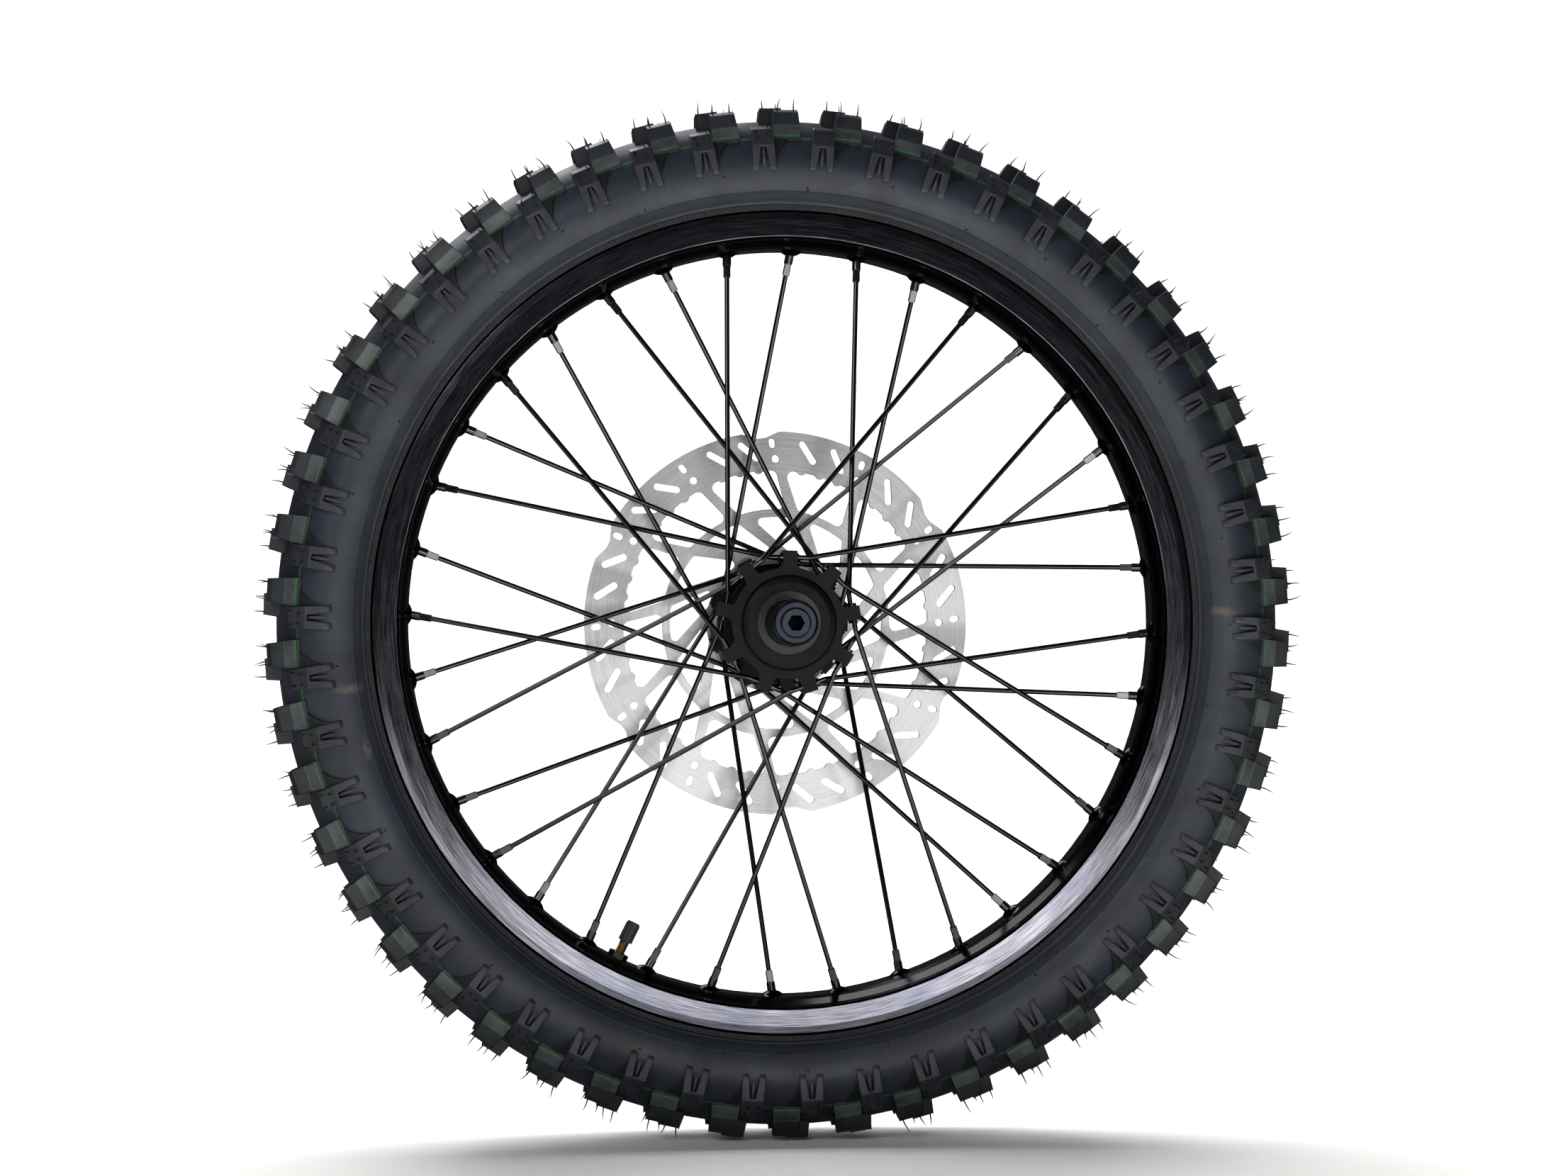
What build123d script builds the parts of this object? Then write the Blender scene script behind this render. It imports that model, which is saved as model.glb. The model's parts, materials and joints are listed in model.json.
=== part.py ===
from build123d import *
import math
import os

# Front wheel of a small off-road motorcycle: knobbly tyre, inner tube, laced rim, castellated hub,
# wave brake disc, sealed ball bearings and the hollow axle they turn on.
# Origin on the axle line in the middle plane of the rim. The wheel turns about Y, Z is up.
# The brake disc is on the +Y side and the -Y side is the near side.

# ================================================================ driving dimensions (mm, degrees)
SEAT_GAP = 0.05         # radial gap between round pieces that are pressed or screwed together
CLOSE_GAP = 0.25        # gap between pieces of the turning wheel that lie against each other
MOVING_GAP = 0.3        # gap between pieces that turn past each other

# rim
BEAD_SEAT_R = 216.3     # the tyre beads sit on this radius
FLANGE_HEIGHT = 11.7    # from the bead seat to the top of the rim flange
SEAT_HEIGHT = 7.6       # from the surface that faces the hub to the bead seat
RIM_HALF = 25.0         # half width over the rim flanges
RIM_WALL = 2.8
FLANGE_WALL = 4.6       # thickness of each rim flange
WELL_HALF = 8.0         # half width of the well the strip lies in
DIMPLE_R = 9.0          # ball radius of the domed seat punched in the rim for each nipple
DIMPLE_RISE = 2.6       # how far the dome stands proud of the rim
STRIP_THICK = 1.4
STRIP_LIP = 1.0         # how far the strip reaches up each side of the well
STRIP_LIFT = 1.1        # space between the nipple heads and the strip

# tyre
SECTION_HEIGHT = 53.0   # from the top of the rim flange to the crown of the carcass
KNOB_HEIGHT = 6.5       # centre knobs above the crown
CARCASS_HALF = 35.5     # widest half width of the carcass
CARCASS_WALL = 6.0      # thickness of the crown
TREAD_PITCHES = 50      # rows of knobs round the tyre
TREAD_START = 3.6       # angle of the first shoulder knob
CENTRE_TURN = 1.5       # centre knob ahead of the shoulder knob
SIDE_TURN = 2.95        # side knob ahead of the shoulder knob
CENTRE_KNOB_HALF = 8.6  # half width of the centre knobs at their tops
SHOULDER_IN_Y = 12.6    # inner edge of the tops of the shoulder knobs
TUBE_WALL = 2.0
TUBE_FOOT_GAP = 0.1     # gap between the tube and the foot of the valve

# spokes and nipples
SPOKE_R = 1.4
HEAD_R = 2.5
HEAD_THICK = 1.6
NIPPLE_R = 2.45
NIPPLE_HEAD_R = 3.7
NIPPLE_HEAD_THICK = 1.6
NIPPLE_SINK = 1.2       # depth of the flat seat below the well of the rim
NIPPLE_SHANK = 15.0     # from the seat to the hub end of the nipple
NIPPLE_SQUARE = 6.5     # length of the squared wrench part
NIPPLE_FLAT = 3.9       # size across the wrench flats
NIPPLE_HOLE_GAP = 0.1
NIPPLE_OFFSET = 3.5     # distance of each row of nipples from the middle plane
SPOKE_END = 1.5         # how far inside the seat the spoke ends
LACE_ANGLE = 70.0       # angle round the hub from a tab to its nipple
ELBOW_REACH = 10.0      # distance from the middle of the tab to the bend in the spoke
NIPPLE_COUNTERBORE = 5.0  # depth of the room for each nipple head above its seat

# hub
TABS = 9                # tabs on each flange
NEAR_TAB_ANGLE = 8.6
FAR_TAB_TURN = 30.0     # first far tab ahead of the first near tab
TAB_TIP_R = 39.8
TAB_ROOT_R = 30.6
TAB_WIDTH = 7.8
TAB_FILLET = 3.0
SPOKE_HOLE_R = 36.0     # distance of the spoke holes from the axle line
SPOKE_HOLE_GAP = 0.1
SPOKE_ROW = 6.5         # distance between the two holes in one tab
SPOKE_HOLE_SPARE = 0.5  # how far the drilling for each spoke runs past its tab
FLANGE_THICK = 12.0
NEAR_FLANGE_Y = -42.0   # outer face of the near flange
FAR_FLANGE_Y = 38.0     # outer face of the far flange
BARREL_R = 22.0
BARREL_FLARE = 8.0      # length of the cone between the barrel and each flange
BARREL_END_R = 28.0
BOSS_R = 26.2
BOSS_RISE = 4.0         # how far the near boss stands out from its flange
BOSS_SHOULDER = 3.7     # width of the rounded shoulder of the boss
BOSS_EDGE = 2.6         # height of the rounded shoulder of the boss
FLANGE_CORE_R = 23.2    # inside of each flange, where it meets the barrel
SPIGOT_R = 21.5
SPIGOT_RISE = 5.5       # how far the spigot stands out from the disc seat
DISC_SEAT_R = 34.0
DISC_SEAT_RISE = 2.5

# bearings, seals and axle
BEARING_OUT_R = 17.5
BEARING_BORE_R = 7.5
BEARING_WIDTH = 11.0
NEAR_BEARING_Y = -41.0  # outer face of the near bearing
FAR_BEARING_Y = 40.0    # outer face of the far bearing
INNER_RACE_R = 10.9
OUTER_RACE_R = 14.6
RACE_LEDGE_GAP = 0.3    # step in the hub clear of the lip of the outer race
BALL_R = 2.95
BALL_GAP = 0.03
BALL_CIRCLE_R = 12.75
BALLS = 8
CAGE_THICK = 1.2
CAGE_HALF = 4.4
CAGE_POCKET_GAP = 0.15
SEAL_THICK = 4.0
AXLE_BORE_R = 4.7
AXLE_HEAD_R = 12.2
AXLE_HEAD_Y = -84.0     # outer face of the axle head
AXLE_HEAD_THICK = 6.0
AXLE_COLLAR_R = 8.2     # raised ring round the socket of the axle head
AXLE_COLLAR_RISE = 2.0
AXLE_END_Y = 94.0
AXLE_TIP_LENGTH = 22.0  # reduced end of the axle that screws into the fork
AXLE_TIP_STEP = 0.7
AXLE_CHAMFER = 0.8
AXLE_DISH = 0.6         # depth of the shallow dish between the head's rim and its collar
HEX_FLAT = 8.0
HEX_DEPTH = 12.0
SPACER_R = 13.0
NEAR_SPACER_Y = -57.0
FAR_SPACER_Y = 58.0

# brake disc
DISC_R = 110.0
DISC_THICK = 3.5
DISC_BORE_GAP = 0.1
DISC_BAND_R = 87.6      # inner edge of the band the pads rub on
DISC_RIB_OUT_R = 65.5   # slim ring half way in
DISC_RIB_IN_R = 60.9
DISC_CENTRE_R = 40.0    # solid centre of the disc
DISC_CELLS = 12         # windows in each row
WIDE_WINDOW = (26.7, 0.0, -4.9, 18.9)      # corner angles: outer left and right, inner right and left
SLIM_WINDOW = (12.6, -9.2, -31.0, -14.0)
WIDE_CORNER_R = 3.5
SLIM_CORNER_R = 2.5
DISC_NOTCHES = 6
NOTCH_ANGLE = 34.8
NOTCH_DEPTH = 3.6
NOTCH_HALF_OUT = 5.6    # half width of a notch at the edge, degrees
NOTCH_HALF_IN = 1.3     # half width of a notch at its floor, degrees
SLOT_WIDTH = 3.8
SLOT_IN_R = 95.3
SLOT_OUT_R = 103.6
SLOT_LEAN = 2.2         # degrees each end of a slot leans from its middle
SLOT_ANGLES = (9.0, 19.3)
HOLE_R = 2.1
HOLE_PLACE = (94.3, 0.2)        # radius and angle of the round hole in each cell
OVAL_PLACE = (103.3, 1.3)
OVAL_LENGTH = 5.4
OVAL_WIDTH = 3.4
OVAL_LEAN = 8.0
WAVE_R = 3.0            # lobes along the inner edge of the band
WAVE_RISE = 1.5
WAVE_ANGLES = (6.4, 13.4, 20.3)
BOLTS = 6
BOLT_CIRCLE_R = 27.0
BOLT_R = 3.0
BOLT_HOLE_GAP = 0.1
BOLT_LENGTH = 11.0
BOLT_HEAD_R = 5.25
BOLT_HEAD_THICK = 3.3
BOLT_HEAD_TAPER = 1.3
BOLT_SOCKET_FLAT = 4.0
BOLT_SOCKET_DEPTH = 2.0
HUB_HOLE_SPARE = 1.0    # thread hole deeper than the bolt

# valve
VALVE_TURN = 235.0      # valve ahead of the first near tab, half way between two nipples
STEM_R = 3.0
STEM_REACH = 19.2       # how far the stem stands out of the rim
STEM_BORE_R = 1.9
STEM_FOOT_R = 5.5
STEM_FOOT_THICK = 1.5
RIM_VALVE_HOLE_R = 4.2
VALVE_NUT_FLAT = 10.0
VALVE_NUT_THICK = 3.2
VALVE_NUT_GAP = 0.1
CORE_DEPTH = 1.0        # how far the core sits below the tip of the stem
CORE_LENGTH = 11.5
PIN_R = 0.6
PIN_GAP = 0.1
PIN_DEPTH = 0.3         # how far the pin ends below the tip of the stem
PIN_LENGTH = 16.0
PIN_WASHER_R = 1.5
PIN_WASHER_THICK = 1.2
CAP_R = 3.65
CAP_RIB_R = 0.45
CAP_RIBS = 12
CAP_LENGTH = 11.6
CAP_TOP_RIM = 1.0       # plain rim of the cap past its ribs
CAP_END_WALL = 1.4
CAP_END_GAP = 1.2       # room between the tip of the stem and the end wall of the cap
CAP_GAP = 0.1

CUT_PAST = 1.0          # how far a cut runs past the surface it opens

# places that follow from those sizes
LIP_R = BEAD_SEAT_R + FLANGE_HEIGHT
CROWN_R = LIP_R + SECTION_HEIGHT
TREAD_R = CROWN_R + KNOB_HEIGHT
RIM_INNER_R = BEAD_SEAT_R - SEAT_HEIGHT
WELL_R = RIM_INNER_R + RIM_WALL
NIPPLE_SEAT_R = WELL_R - NIPPLE_SINK
STRIP_IN_R = NIPPLE_SEAT_R + NIPPLE_HEAD_THICK + STRIP_LIFT
STRIP_TOP_R = STRIP_IN_R + STRIP_THICK
TUBE_IN_R = STRIP_TOP_R + CLOSE_GAP
FAR_TAB_ANGLE = NEAR_TAB_ANGLE + FAR_TAB_TURN
VALVE_ANGLE = NEAR_TAB_ANGLE + VALVE_TURN
STEM_TIP_R = RIM_INNER_R - STEM_REACH
CAP_TIP_R = STEM_TIP_R - CAP_END_GAP - CAP_END_WALL

CENTRED_UP = (Align.CENTER, Align.CENTER, Align.MIN)
os.makedirs("parts", exist_ok=True)


# ================================================================ shared helpers
def on_wheel(radius, degrees, y):
    """Point at a radius and an angle round the axle, measured from +X towards +Z."""
    turn = math.radians(degrees)
    return Vector(radius * math.cos(turn), y, radius * math.sin(turn))


def flat_point(radius, degrees):
    """The same point in the plane of the wheel."""
    turn = math.radians(degrees)
    return (radius * math.cos(turn), radius * math.sin(turn))


def rod(start, end, radius, mode=Mode.ADD):
    """Round bar from start to end in the piece being built, or a hole when mode subtracts."""
    way = end - start
    with Locations(Plane(origin=start, z_dir=way)):
        Cylinder(radius, way.length, align=CENTRED_UP, mode=mode)


def turned(points, mode=Mode.ADD):
    """Closed outline of (radius, y) points, turned once about the axle line."""
    with BuildSketch(Plane.XY) as outline:
        with BuildLine():
            Polyline(*points, close=True)
        make_face()
    revolve(outline.sketch, axis=Axis.Y, mode=mode)


def ring(inner_r, outer_r, low_y, high_y):
    """Plain ring round the axle line."""
    turned([(inner_r, low_y), (outer_r, low_y), (outer_r, high_y), (inner_r, high_y)])


def both_sides(half):
    """Outline points on the +Y side followed by the same points on the -Y side."""
    return half + [(radius, -y) for radius, y in reversed(half)]


def save(piece, name):
    piece.part.label = name
    export_step(piece.part, f"parts/{name}.step", write_pcurves=False)


# ================================================================ spoke geometry
def spoke_points(side, tab, way):
    """Head, bend and nipple seat of one spoke, with way -1 for clockwise and +1 for anticlockwise."""
    if side == "near":
        row = NEAR_FLANGE_Y + FLANGE_THICK / 2 + way * SPOKE_ROW / 2
        first, rim_y = NEAR_TAB_ANGLE, -NIPPLE_OFFSET
    else:
        row = FAR_FLANGE_Y - FLANGE_THICK / 2 - way * SPOKE_ROW / 2
        first, rim_y = FAR_TAB_ANGLE, NIPPLE_OFFSET
    angle = first + tab * 360 / TABS
    along = on_wheel(way, angle + 90, 0)
    foot = on_wheel(SPOKE_HOLE_R, angle, row)
    head = foot - along * (TAB_WIDTH / 2)
    bend = foot + along * ELBOW_REACH
    seat = on_wheel(NIPPLE_SEAT_R, angle + way * LACE_ANGLE, rim_y)
    return head, bend, seat


def every_spoke():
    """Points of all the spokes of the wheel, one after another."""
    return [spoke_points(side, tab, way)
            for side in ("near", "far") for tab in range(TABS) for way in (-1, 1)]


# ================================================================ tyre
# Half outline of the carcass: under the bead, up inside the rim flange and over its lip.
BEAD_SIDE_Y = RIM_HALF - FLANGE_WALL - CLOSE_GAP
BEAD = [
    (BEAD_SEAT_R + CLOSE_GAP, WELL_HALF + 4.8),
    (BEAD_SEAT_R + CLOSE_GAP, BEAD_SIDE_Y - 2.2),
    (BEAD_SEAT_R + 2.6, BEAD_SIDE_Y),
    (LIP_R - 0.8, BEAD_SIDE_Y),
    (LIP_R + CLOSE_GAP, BEAD_SIDE_Y + 1.0),
    (LIP_R + CLOSE_GAP, RIM_HALF + 0.2),
    (LIP_R + 0.9, RIM_HALF + 0.9),
    (LIP_R + 3.0, RIM_HALF + 1.3),
]
# sidewall from the bead band to the shoulder of the crown, in short cones
SIDEWALL = [
    (LIP_R + 3.4, RIM_HALF + 1.9),
    (LIP_R + 8.5, RIM_HALF + 6.4),
    (LIP_R + 16.0, CARCASS_HALF - 0.7),
    (CROWN_R - 29.0, CARCASS_HALF),
    (CROWN_R - 20.5, CARCASS_HALF - 3.2),
    (CROWN_R - 12.5, CARCASS_HALF - 10.0),
    (CROWN_R - 5.5, CARCASS_HALF - 19.5),
    (CROWN_R - 1.2, CARCASS_HALF - 28.5),
]
CROWN_FLAT = 4.0        # half width of the flat stretch along the middle of the crown
# inside of the carcass from the bead toe to the middle of the crown
LINING = [
    (BEAD_SEAT_R + 7.7, WELL_HALF + 5.2),
    (BEAD_SEAT_R + 18.7, RIM_HALF - 1.0),
    (BEAD_SEAT_R + 28.7, CARCASS_HALF - 5.9),
    (CROWN_R - CARCASS_WALL - 21.7, CARCASS_HALF - 5.3),
    (CROWN_R - CARCASS_WALL - 13.2, CARCASS_HALF - 9.1),
    (CROWN_R - CARCASS_WALL - 5.2, CARCASS_HALF - 17.5),
    (CROWN_R - CARCASS_WALL - 0.7, CARCASS_HALF - 28.0),
]
# knobs: outlines seen from the side as (round the tyre, radius), sections as (radius, y)
CENTRE_FACE = [(-7.3, CROWN_R - 4.0), (7.3, CROWN_R - 4.0), (5.9, TREAD_R), (-5.9, TREAD_R)]
CENTRE_SECTION = both_sides([
    (CROWN_R - 5.0, CENTRE_KNOB_HALF + 1.4),
    (CROWN_R + 0.5, CENTRE_KNOB_HALF + 1.0),
    (TREAD_R, CENTRE_KNOB_HALF),
])
SHOULDER_TOP_R = TREAD_R - 1.6
SHOULDER_FACE = [(-8.2, CROWN_R - 17.0), (8.2, CROWN_R - 17.0),
                 (6.6, SHOULDER_TOP_R + 0.6), (-6.6, SHOULDER_TOP_R + 0.6)]
SHOULDER_SECTION = [
    (CROWN_R - 14.8, CARCASS_HALF - 9.9),
    (CROWN_R - 14.8, CARCASS_HALF - 7.3),
    (CROWN_R - 12.0, CARCASS_HALF - 7.9),
    (SHOULDER_TOP_R - 3.0, CARCASS_HALF - 12.9),
    (SHOULDER_TOP_R, SHOULDER_IN_Y),
    (CROWN_R - 3.7, SHOULDER_IN_Y - 2.0),
    (CROWN_R - 4.7, SHOULDER_IN_Y - 1.6),
]
SIDE_FOOT_R = CROWN_R - 32.4
SIDE_FACE = [
    (-6.7, SIDE_FOOT_R), (-3.0, SIDE_FOOT_R), (-1.5, SIDE_FOOT_R + 13.4),
    (1.5, SIDE_FOOT_R + 13.4), (3.0, SIDE_FOOT_R), (6.7, SIDE_FOOT_R),
    (6.5, SIDE_FOOT_R + 6.4), (5.5, CROWN_R - 5.0), (-5.5, CROWN_R - 5.0), (-6.5, SIDE_FOOT_R + 6.4),
]
SIDE_SECTION = [
    (SIDE_FOOT_R, CARCASS_HALF - 3.5),
    (SIDE_FOOT_R, CARCASS_HALF + 0.4),
    (SIDE_FOOT_R + 1.8, CARCASS_HALF + 1.5),
    (CROWN_R - 17.6, CARCASS_HALF + 1.4),
    (CROWN_R - 8.4, CARCASS_HALF - 5.3),
    (CROWN_R - 5.8, CARCASS_HALF - 12.9),
    (CROWN_R - 10.5, CARCASS_HALF - 15.7),
    (CROWN_R - 14.5, CARCASS_HALF - 10.9),
    (CROWN_R - 25.0, CARCASS_HALF - 4.0),
]
KNOB_REACH = 20.0       # more than half the length of any knob round the tyre


def block(face, section):
    """Knob at angle zero: its side outline and its cross section carried through each other."""
    with BuildPart() as lump:
        with BuildSketch(Plane.XY) as cut:
            with BuildLine():
                Polyline(*section, close=True)
            make_face()
        extrude(cut.sketch, amount=KNOB_REACH, both=True)
        with BuildSketch(Plane.XZ) as side:
            with BuildLine():
                Polyline(*[(radius, round_tyre) for round_tyre, radius in face], close=True)
            make_face()
        extrude(side.sketch, amount=CARCASS_HALF * 2, both=True, mode=Mode.INTERSECT)
    return lump.part


def knob_row():
    """The five knobs of one pitch, with the angle each one is turned by."""
    row = [(block(CENTRE_FACE, CENTRE_SECTION), CENTRE_TURN)]
    pairs = ((SHOULDER_FACE, SHOULDER_SECTION, 0), (SIDE_FACE, SIDE_SECTION, SIDE_TURN))
    for face, section, turn in pairs:
        for hand in (1, -1):
            outline = [(radius, hand * y) for radius, y in section]
            row.append((block(face, outline), turn))
    return row


with BuildPart() as tyre:
    with BuildSketch(Plane.XY) as carcass:
        with BuildLine():
            Polyline(SIDEWALL[0], *reversed(BEAD))
            Polyline(BEAD[0], *LINING, (CROWN_R - CARCASS_WALL, 0))
            Polyline((CROWN_R - CARCASS_WALL, 0), *[(r, -y) for r, y in reversed(LINING)],
                     (BEAD[0][0], -BEAD[0][1]))
            Polyline((BEAD[0][0], -BEAD[0][1]), *[(r, -y) for r, y in BEAD[1:]],
                     (SIDEWALL[0][0], -SIDEWALL[0][1]))
            Polyline(*SIDEWALL, (CROWN_R, CROWN_FLAT), (CROWN_R, -CROWN_FLAT),
                     *[(r, -y) for r, y in reversed(SIDEWALL)])
        make_face()
    revolve(carcass.sketch, axis=Axis.Y)
    knobs = []
    for lump, turn in knob_row():
        for pitch in range(TREAD_PITCHES):
            angle = TREAD_START + turn + pitch * 360 / TREAD_PITCHES
            knobs.append(lump.rotate(Axis.Y, -angle))
    add(knobs)
save(tyre, "tyre")

# ================================================================ inner tube
TUBE_OUTLINE = [
    (TUBE_IN_R, WELL_HALF),
    (BEAD_SEAT_R + CLOSE_GAP, WELL_HALF + 3.2),
    (BEAD_SEAT_R + 7.7, WELL_HALF + 4.8),
] + [(radius, y - 0.5) for radius, y in LINING[1:4]] + [
    (radius - 0.4, y - 0.3) for radius, y in LINING[4:]]

with BuildPart() as inner_tube:
    with BuildSketch(Plane.XY) as tube_section:
        with BuildLine():
            Polyline(*both_sides(TUBE_OUTLINE), close=True)
        make_face()
        offset(amount=-TUBE_WALL, mode=Mode.SUBTRACT)
    revolve(tube_section.sketch, axis=Axis.Y)
    rod(on_wheel(TUBE_IN_R - CUT_PAST, VALVE_ANGLE, 0),
        on_wheel(TUBE_IN_R + TUBE_WALL + CUT_PAST, VALVE_ANGLE, 0),
        STEM_R + SEAT_GAP, Mode.SUBTRACT)
save(inner_tube, "inner_tube")

# ================================================================ rim and rim strip
RIM_OUTLINE = [
    (RIM_INNER_R, 9.0),
    (RIM_INNER_R + 1.1, 14.0),
    (RIM_INNER_R + 3.6, 20.0),
    (RIM_INNER_R + 4.3, 23.4),
    (RIM_INNER_R + 5.0, RIM_HALF - 0.5),
    (RIM_INNER_R + 5.6, RIM_HALF),
    (LIP_R - 0.9, RIM_HALF),
    (LIP_R, RIM_HALF - 0.8),
    (LIP_R, RIM_HALF - FLANGE_WALL + 1.1),
    (LIP_R - 1.0, RIM_HALF - FLANGE_WALL),
    (BEAD_SEAT_R + 2.0, RIM_HALF - FLANGE_WALL),
    (BEAD_SEAT_R, RIM_HALF - FLANGE_WALL - 1.8),
    (BEAD_SEAT_R, WELL_HALF + 4.2),
    (WELL_R, WELL_HALF),
]

with BuildPart() as dimple:
    with Locations((0, 0, DIMPLE_RISE - DIMPLE_R)):
        Sphere(DIMPLE_R)
    split(bisect_by=Plane.XY.offset(-RIM_WALL / 2), keep=Keep.TOP)

with BuildPart() as rim:
    turned(both_sides(RIM_OUTLINE))
    for head, bend, seat in every_spoke():
        radial = Vector(seat.X, 0, seat.Z).normalized()
        face = radial * RIM_INNER_R + Vector(0, seat.Y, 0)
        with Locations(Plane(origin=face, z_dir=-radial)):
            add(dimple.part)
    for head, bend, seat in every_spoke():
        inward = (bend - seat).normalized()
        rod(seat - inward * NIPPLE_COUNTERBORE, seat,
            NIPPLE_HEAD_R + NIPPLE_HOLE_GAP, Mode.SUBTRACT)
        rod(seat, seat + inward * (RIM_WALL + DIMPLE_RISE + 2 * CUT_PAST),
            NIPPLE_R + NIPPLE_HOLE_GAP, Mode.SUBTRACT)
    rod(on_wheel(RIM_INNER_R - CUT_PAST, VALVE_ANGLE, 0), on_wheel(BEAD_SEAT_R, VALVE_ANGLE, 0),
        RIM_VALVE_HOLE_R, Mode.SUBTRACT)
save(rim, "rim")

STRIP_HALF = WELL_HALF + STRIP_LIP
with BuildPart() as rim_strip:
    ring(STRIP_IN_R, STRIP_TOP_R, -STRIP_HALF, STRIP_HALF)
    rod(on_wheel(STRIP_IN_R - CUT_PAST, VALVE_ANGLE, 0),
        on_wheel(STRIP_TOP_R + CUT_PAST, VALVE_ANGLE, 0),
        STEM_R + CLOSE_GAP, Mode.SUBTRACT)
save(rim_strip, "rim_strip")

# ================================================================ nipples
with BuildPart() as one_nipple:
    with Locations((0, 0, -NIPPLE_HEAD_THICK)):
        Cylinder(NIPPLE_HEAD_R, NIPPLE_HEAD_THICK, align=CENTRED_UP)
    Cylinder(NIPPLE_R, NIPPLE_SHANK - NIPPLE_SQUARE, align=CENTRED_UP)
    with BuildSketch(Plane.XY.offset(NIPPLE_SHANK - NIPPLE_SQUARE)) as square:
        Circle(NIPPLE_R)
        Rectangle(NIPPLE_FLAT, NIPPLE_FLAT, mode=Mode.INTERSECT)
    extrude(square.sketch, amount=NIPPLE_SQUARE)
    with Locations((0, 0, -NIPPLE_HEAD_THICK)):
        Cylinder(SPOKE_R + SEAT_GAP, NIPPLE_SHANK + NIPPLE_HEAD_THICK,
                 align=CENTRED_UP, mode=Mode.SUBTRACT)

with BuildPart() as nipples:
    for head, bend, seat in every_spoke():
        with Locations(Plane(origin=seat, z_dir=bend - seat)):
            add(one_nipple.part)
save(nipples, "nipples")

# ================================================================ spokes, one piece pair for each tab
for side in ("near", "far"):
    for tab in range(TABS):
        with BuildPart() as spoke_pair:
            for way in (-1, 1):
                head, bend, seat = spoke_points(side, tab, way)
                along = (bend - head).normalized()
                inward = (bend - seat).normalized()
                rod(head - along * HEAD_THICK, head, HEAD_R)
                rod(head, bend, SPOKE_R)
                with Locations(bend):
                    Sphere(SPOKE_R)
                rod(bend, seat + inward * SPOKE_END, SPOKE_R)
        save(spoke_pair, f"spokes_{side}_{tab + 1}")

# ================================================================ hub
NEAR_INNER_Y = NEAR_FLANGE_Y + FLANGE_THICK
FAR_INNER_Y = FAR_FLANGE_Y - FLANGE_THICK
NEAR_BOSS_Y = NEAR_FLANGE_Y - BOSS_RISE
DISC_Y = FAR_FLANGE_Y + DISC_SEAT_RISE
SPIGOT_Y = DISC_Y + SPIGOT_RISE
HUB_BORE_R = BEARING_OUT_R + SEAT_GAP
LEDGE_R = OUTER_RACE_R + RACE_LEDGE_GAP
NEAR_SHOULDER_Y = NEAR_BEARING_Y + BEARING_WIDTH
FAR_SHOULDER_Y = FAR_BEARING_Y - BEARING_WIDTH


def castle_flange(low_y, first_angle):
    """Flange with square tabs round it, standing from low_y towards +Y."""
    with BuildSketch(Plane.XZ.offset(-low_y)) as flange:
        Circle(TAB_ROOT_R)
        with PolarLocations(0, TABS, start_angle=first_angle):
            with Locations((TAB_TIP_R / 2, 0)):
                Rectangle(TAB_TIP_R, TAB_WIDTH)
        roots = [corner for corner in flange.vertices()
                 if math.hypot(corner.X, corner.Y) < (TAB_TIP_R + TAB_ROOT_R) / 2]
        fillet(roots, radius=TAB_FILLET)
    extrude(flange.sketch, amount=-FLANGE_THICK)


with BuildPart() as hub_shell:
    turned([
        (LEDGE_R, NEAR_SHOULDER_Y),
        (HUB_BORE_R, NEAR_SHOULDER_Y),
        (HUB_BORE_R, NEAR_BOSS_Y),
        (BOSS_R - BOSS_SHOULDER, NEAR_BOSS_Y),
        (BOSS_R - BOSS_SHOULDER / 3, NEAR_BOSS_Y + BOSS_EDGE / 3),
        (BOSS_R, NEAR_BOSS_Y + BOSS_EDGE),
        (BOSS_R, NEAR_INNER_Y - CUT_PAST),
        (BARREL_END_R, NEAR_INNER_Y - CUT_PAST),
        (BARREL_END_R, NEAR_INNER_Y),
        (BARREL_R, NEAR_INNER_Y + BARREL_FLARE),
        (BARREL_R, FAR_INNER_Y - BARREL_FLARE),
        (BARREL_END_R, FAR_INNER_Y),
        (BARREL_END_R, FAR_FLANGE_Y),
        (DISC_SEAT_R, FAR_FLANGE_Y),
        (DISC_SEAT_R, DISC_Y),
        (SPIGOT_R, DISC_Y),
        (SPIGOT_R, SPIGOT_Y),
        (HUB_BORE_R, SPIGOT_Y),
        (HUB_BORE_R, FAR_SHOULDER_Y),
        (LEDGE_R, FAR_SHOULDER_Y),
    ])
    with BuildPart(mode=Mode.PRIVATE) as flanges:
        castle_flange(NEAR_FLANGE_Y, NEAR_TAB_ANGLE)
        castle_flange(FAR_INNER_Y, FAR_TAB_ANGLE)
        rod(on_wheel(0, 0, NEAR_FLANGE_Y - CUT_PAST), on_wheel(0, 0, FAR_FLANGE_Y + CUT_PAST),
            FLANGE_CORE_R, Mode.SUBTRACT)
    add(flanges.part)
    for head, bend, seat in every_spoke():
        along = (bend - head).normalized()
        rod(head - along * SPOKE_HOLE_SPARE, head + along * (TAB_WIDTH + SPOKE_HOLE_SPARE),
            SPOKE_R + SPOKE_HOLE_GAP, Mode.SUBTRACT)
    for number in range(BOLTS):
        angle = number * 360 / BOLTS
        rod(on_wheel(BOLT_CIRCLE_R, angle, DISC_Y + CUT_PAST),
            on_wheel(BOLT_CIRCLE_R, angle, DISC_Y + DISC_THICK - BOLT_LENGTH - HUB_HOLE_SPARE),
            BOLT_R + BOLT_HOLE_GAP, Mode.SUBTRACT)
save(hub_shell, "hub_shell")

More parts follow.
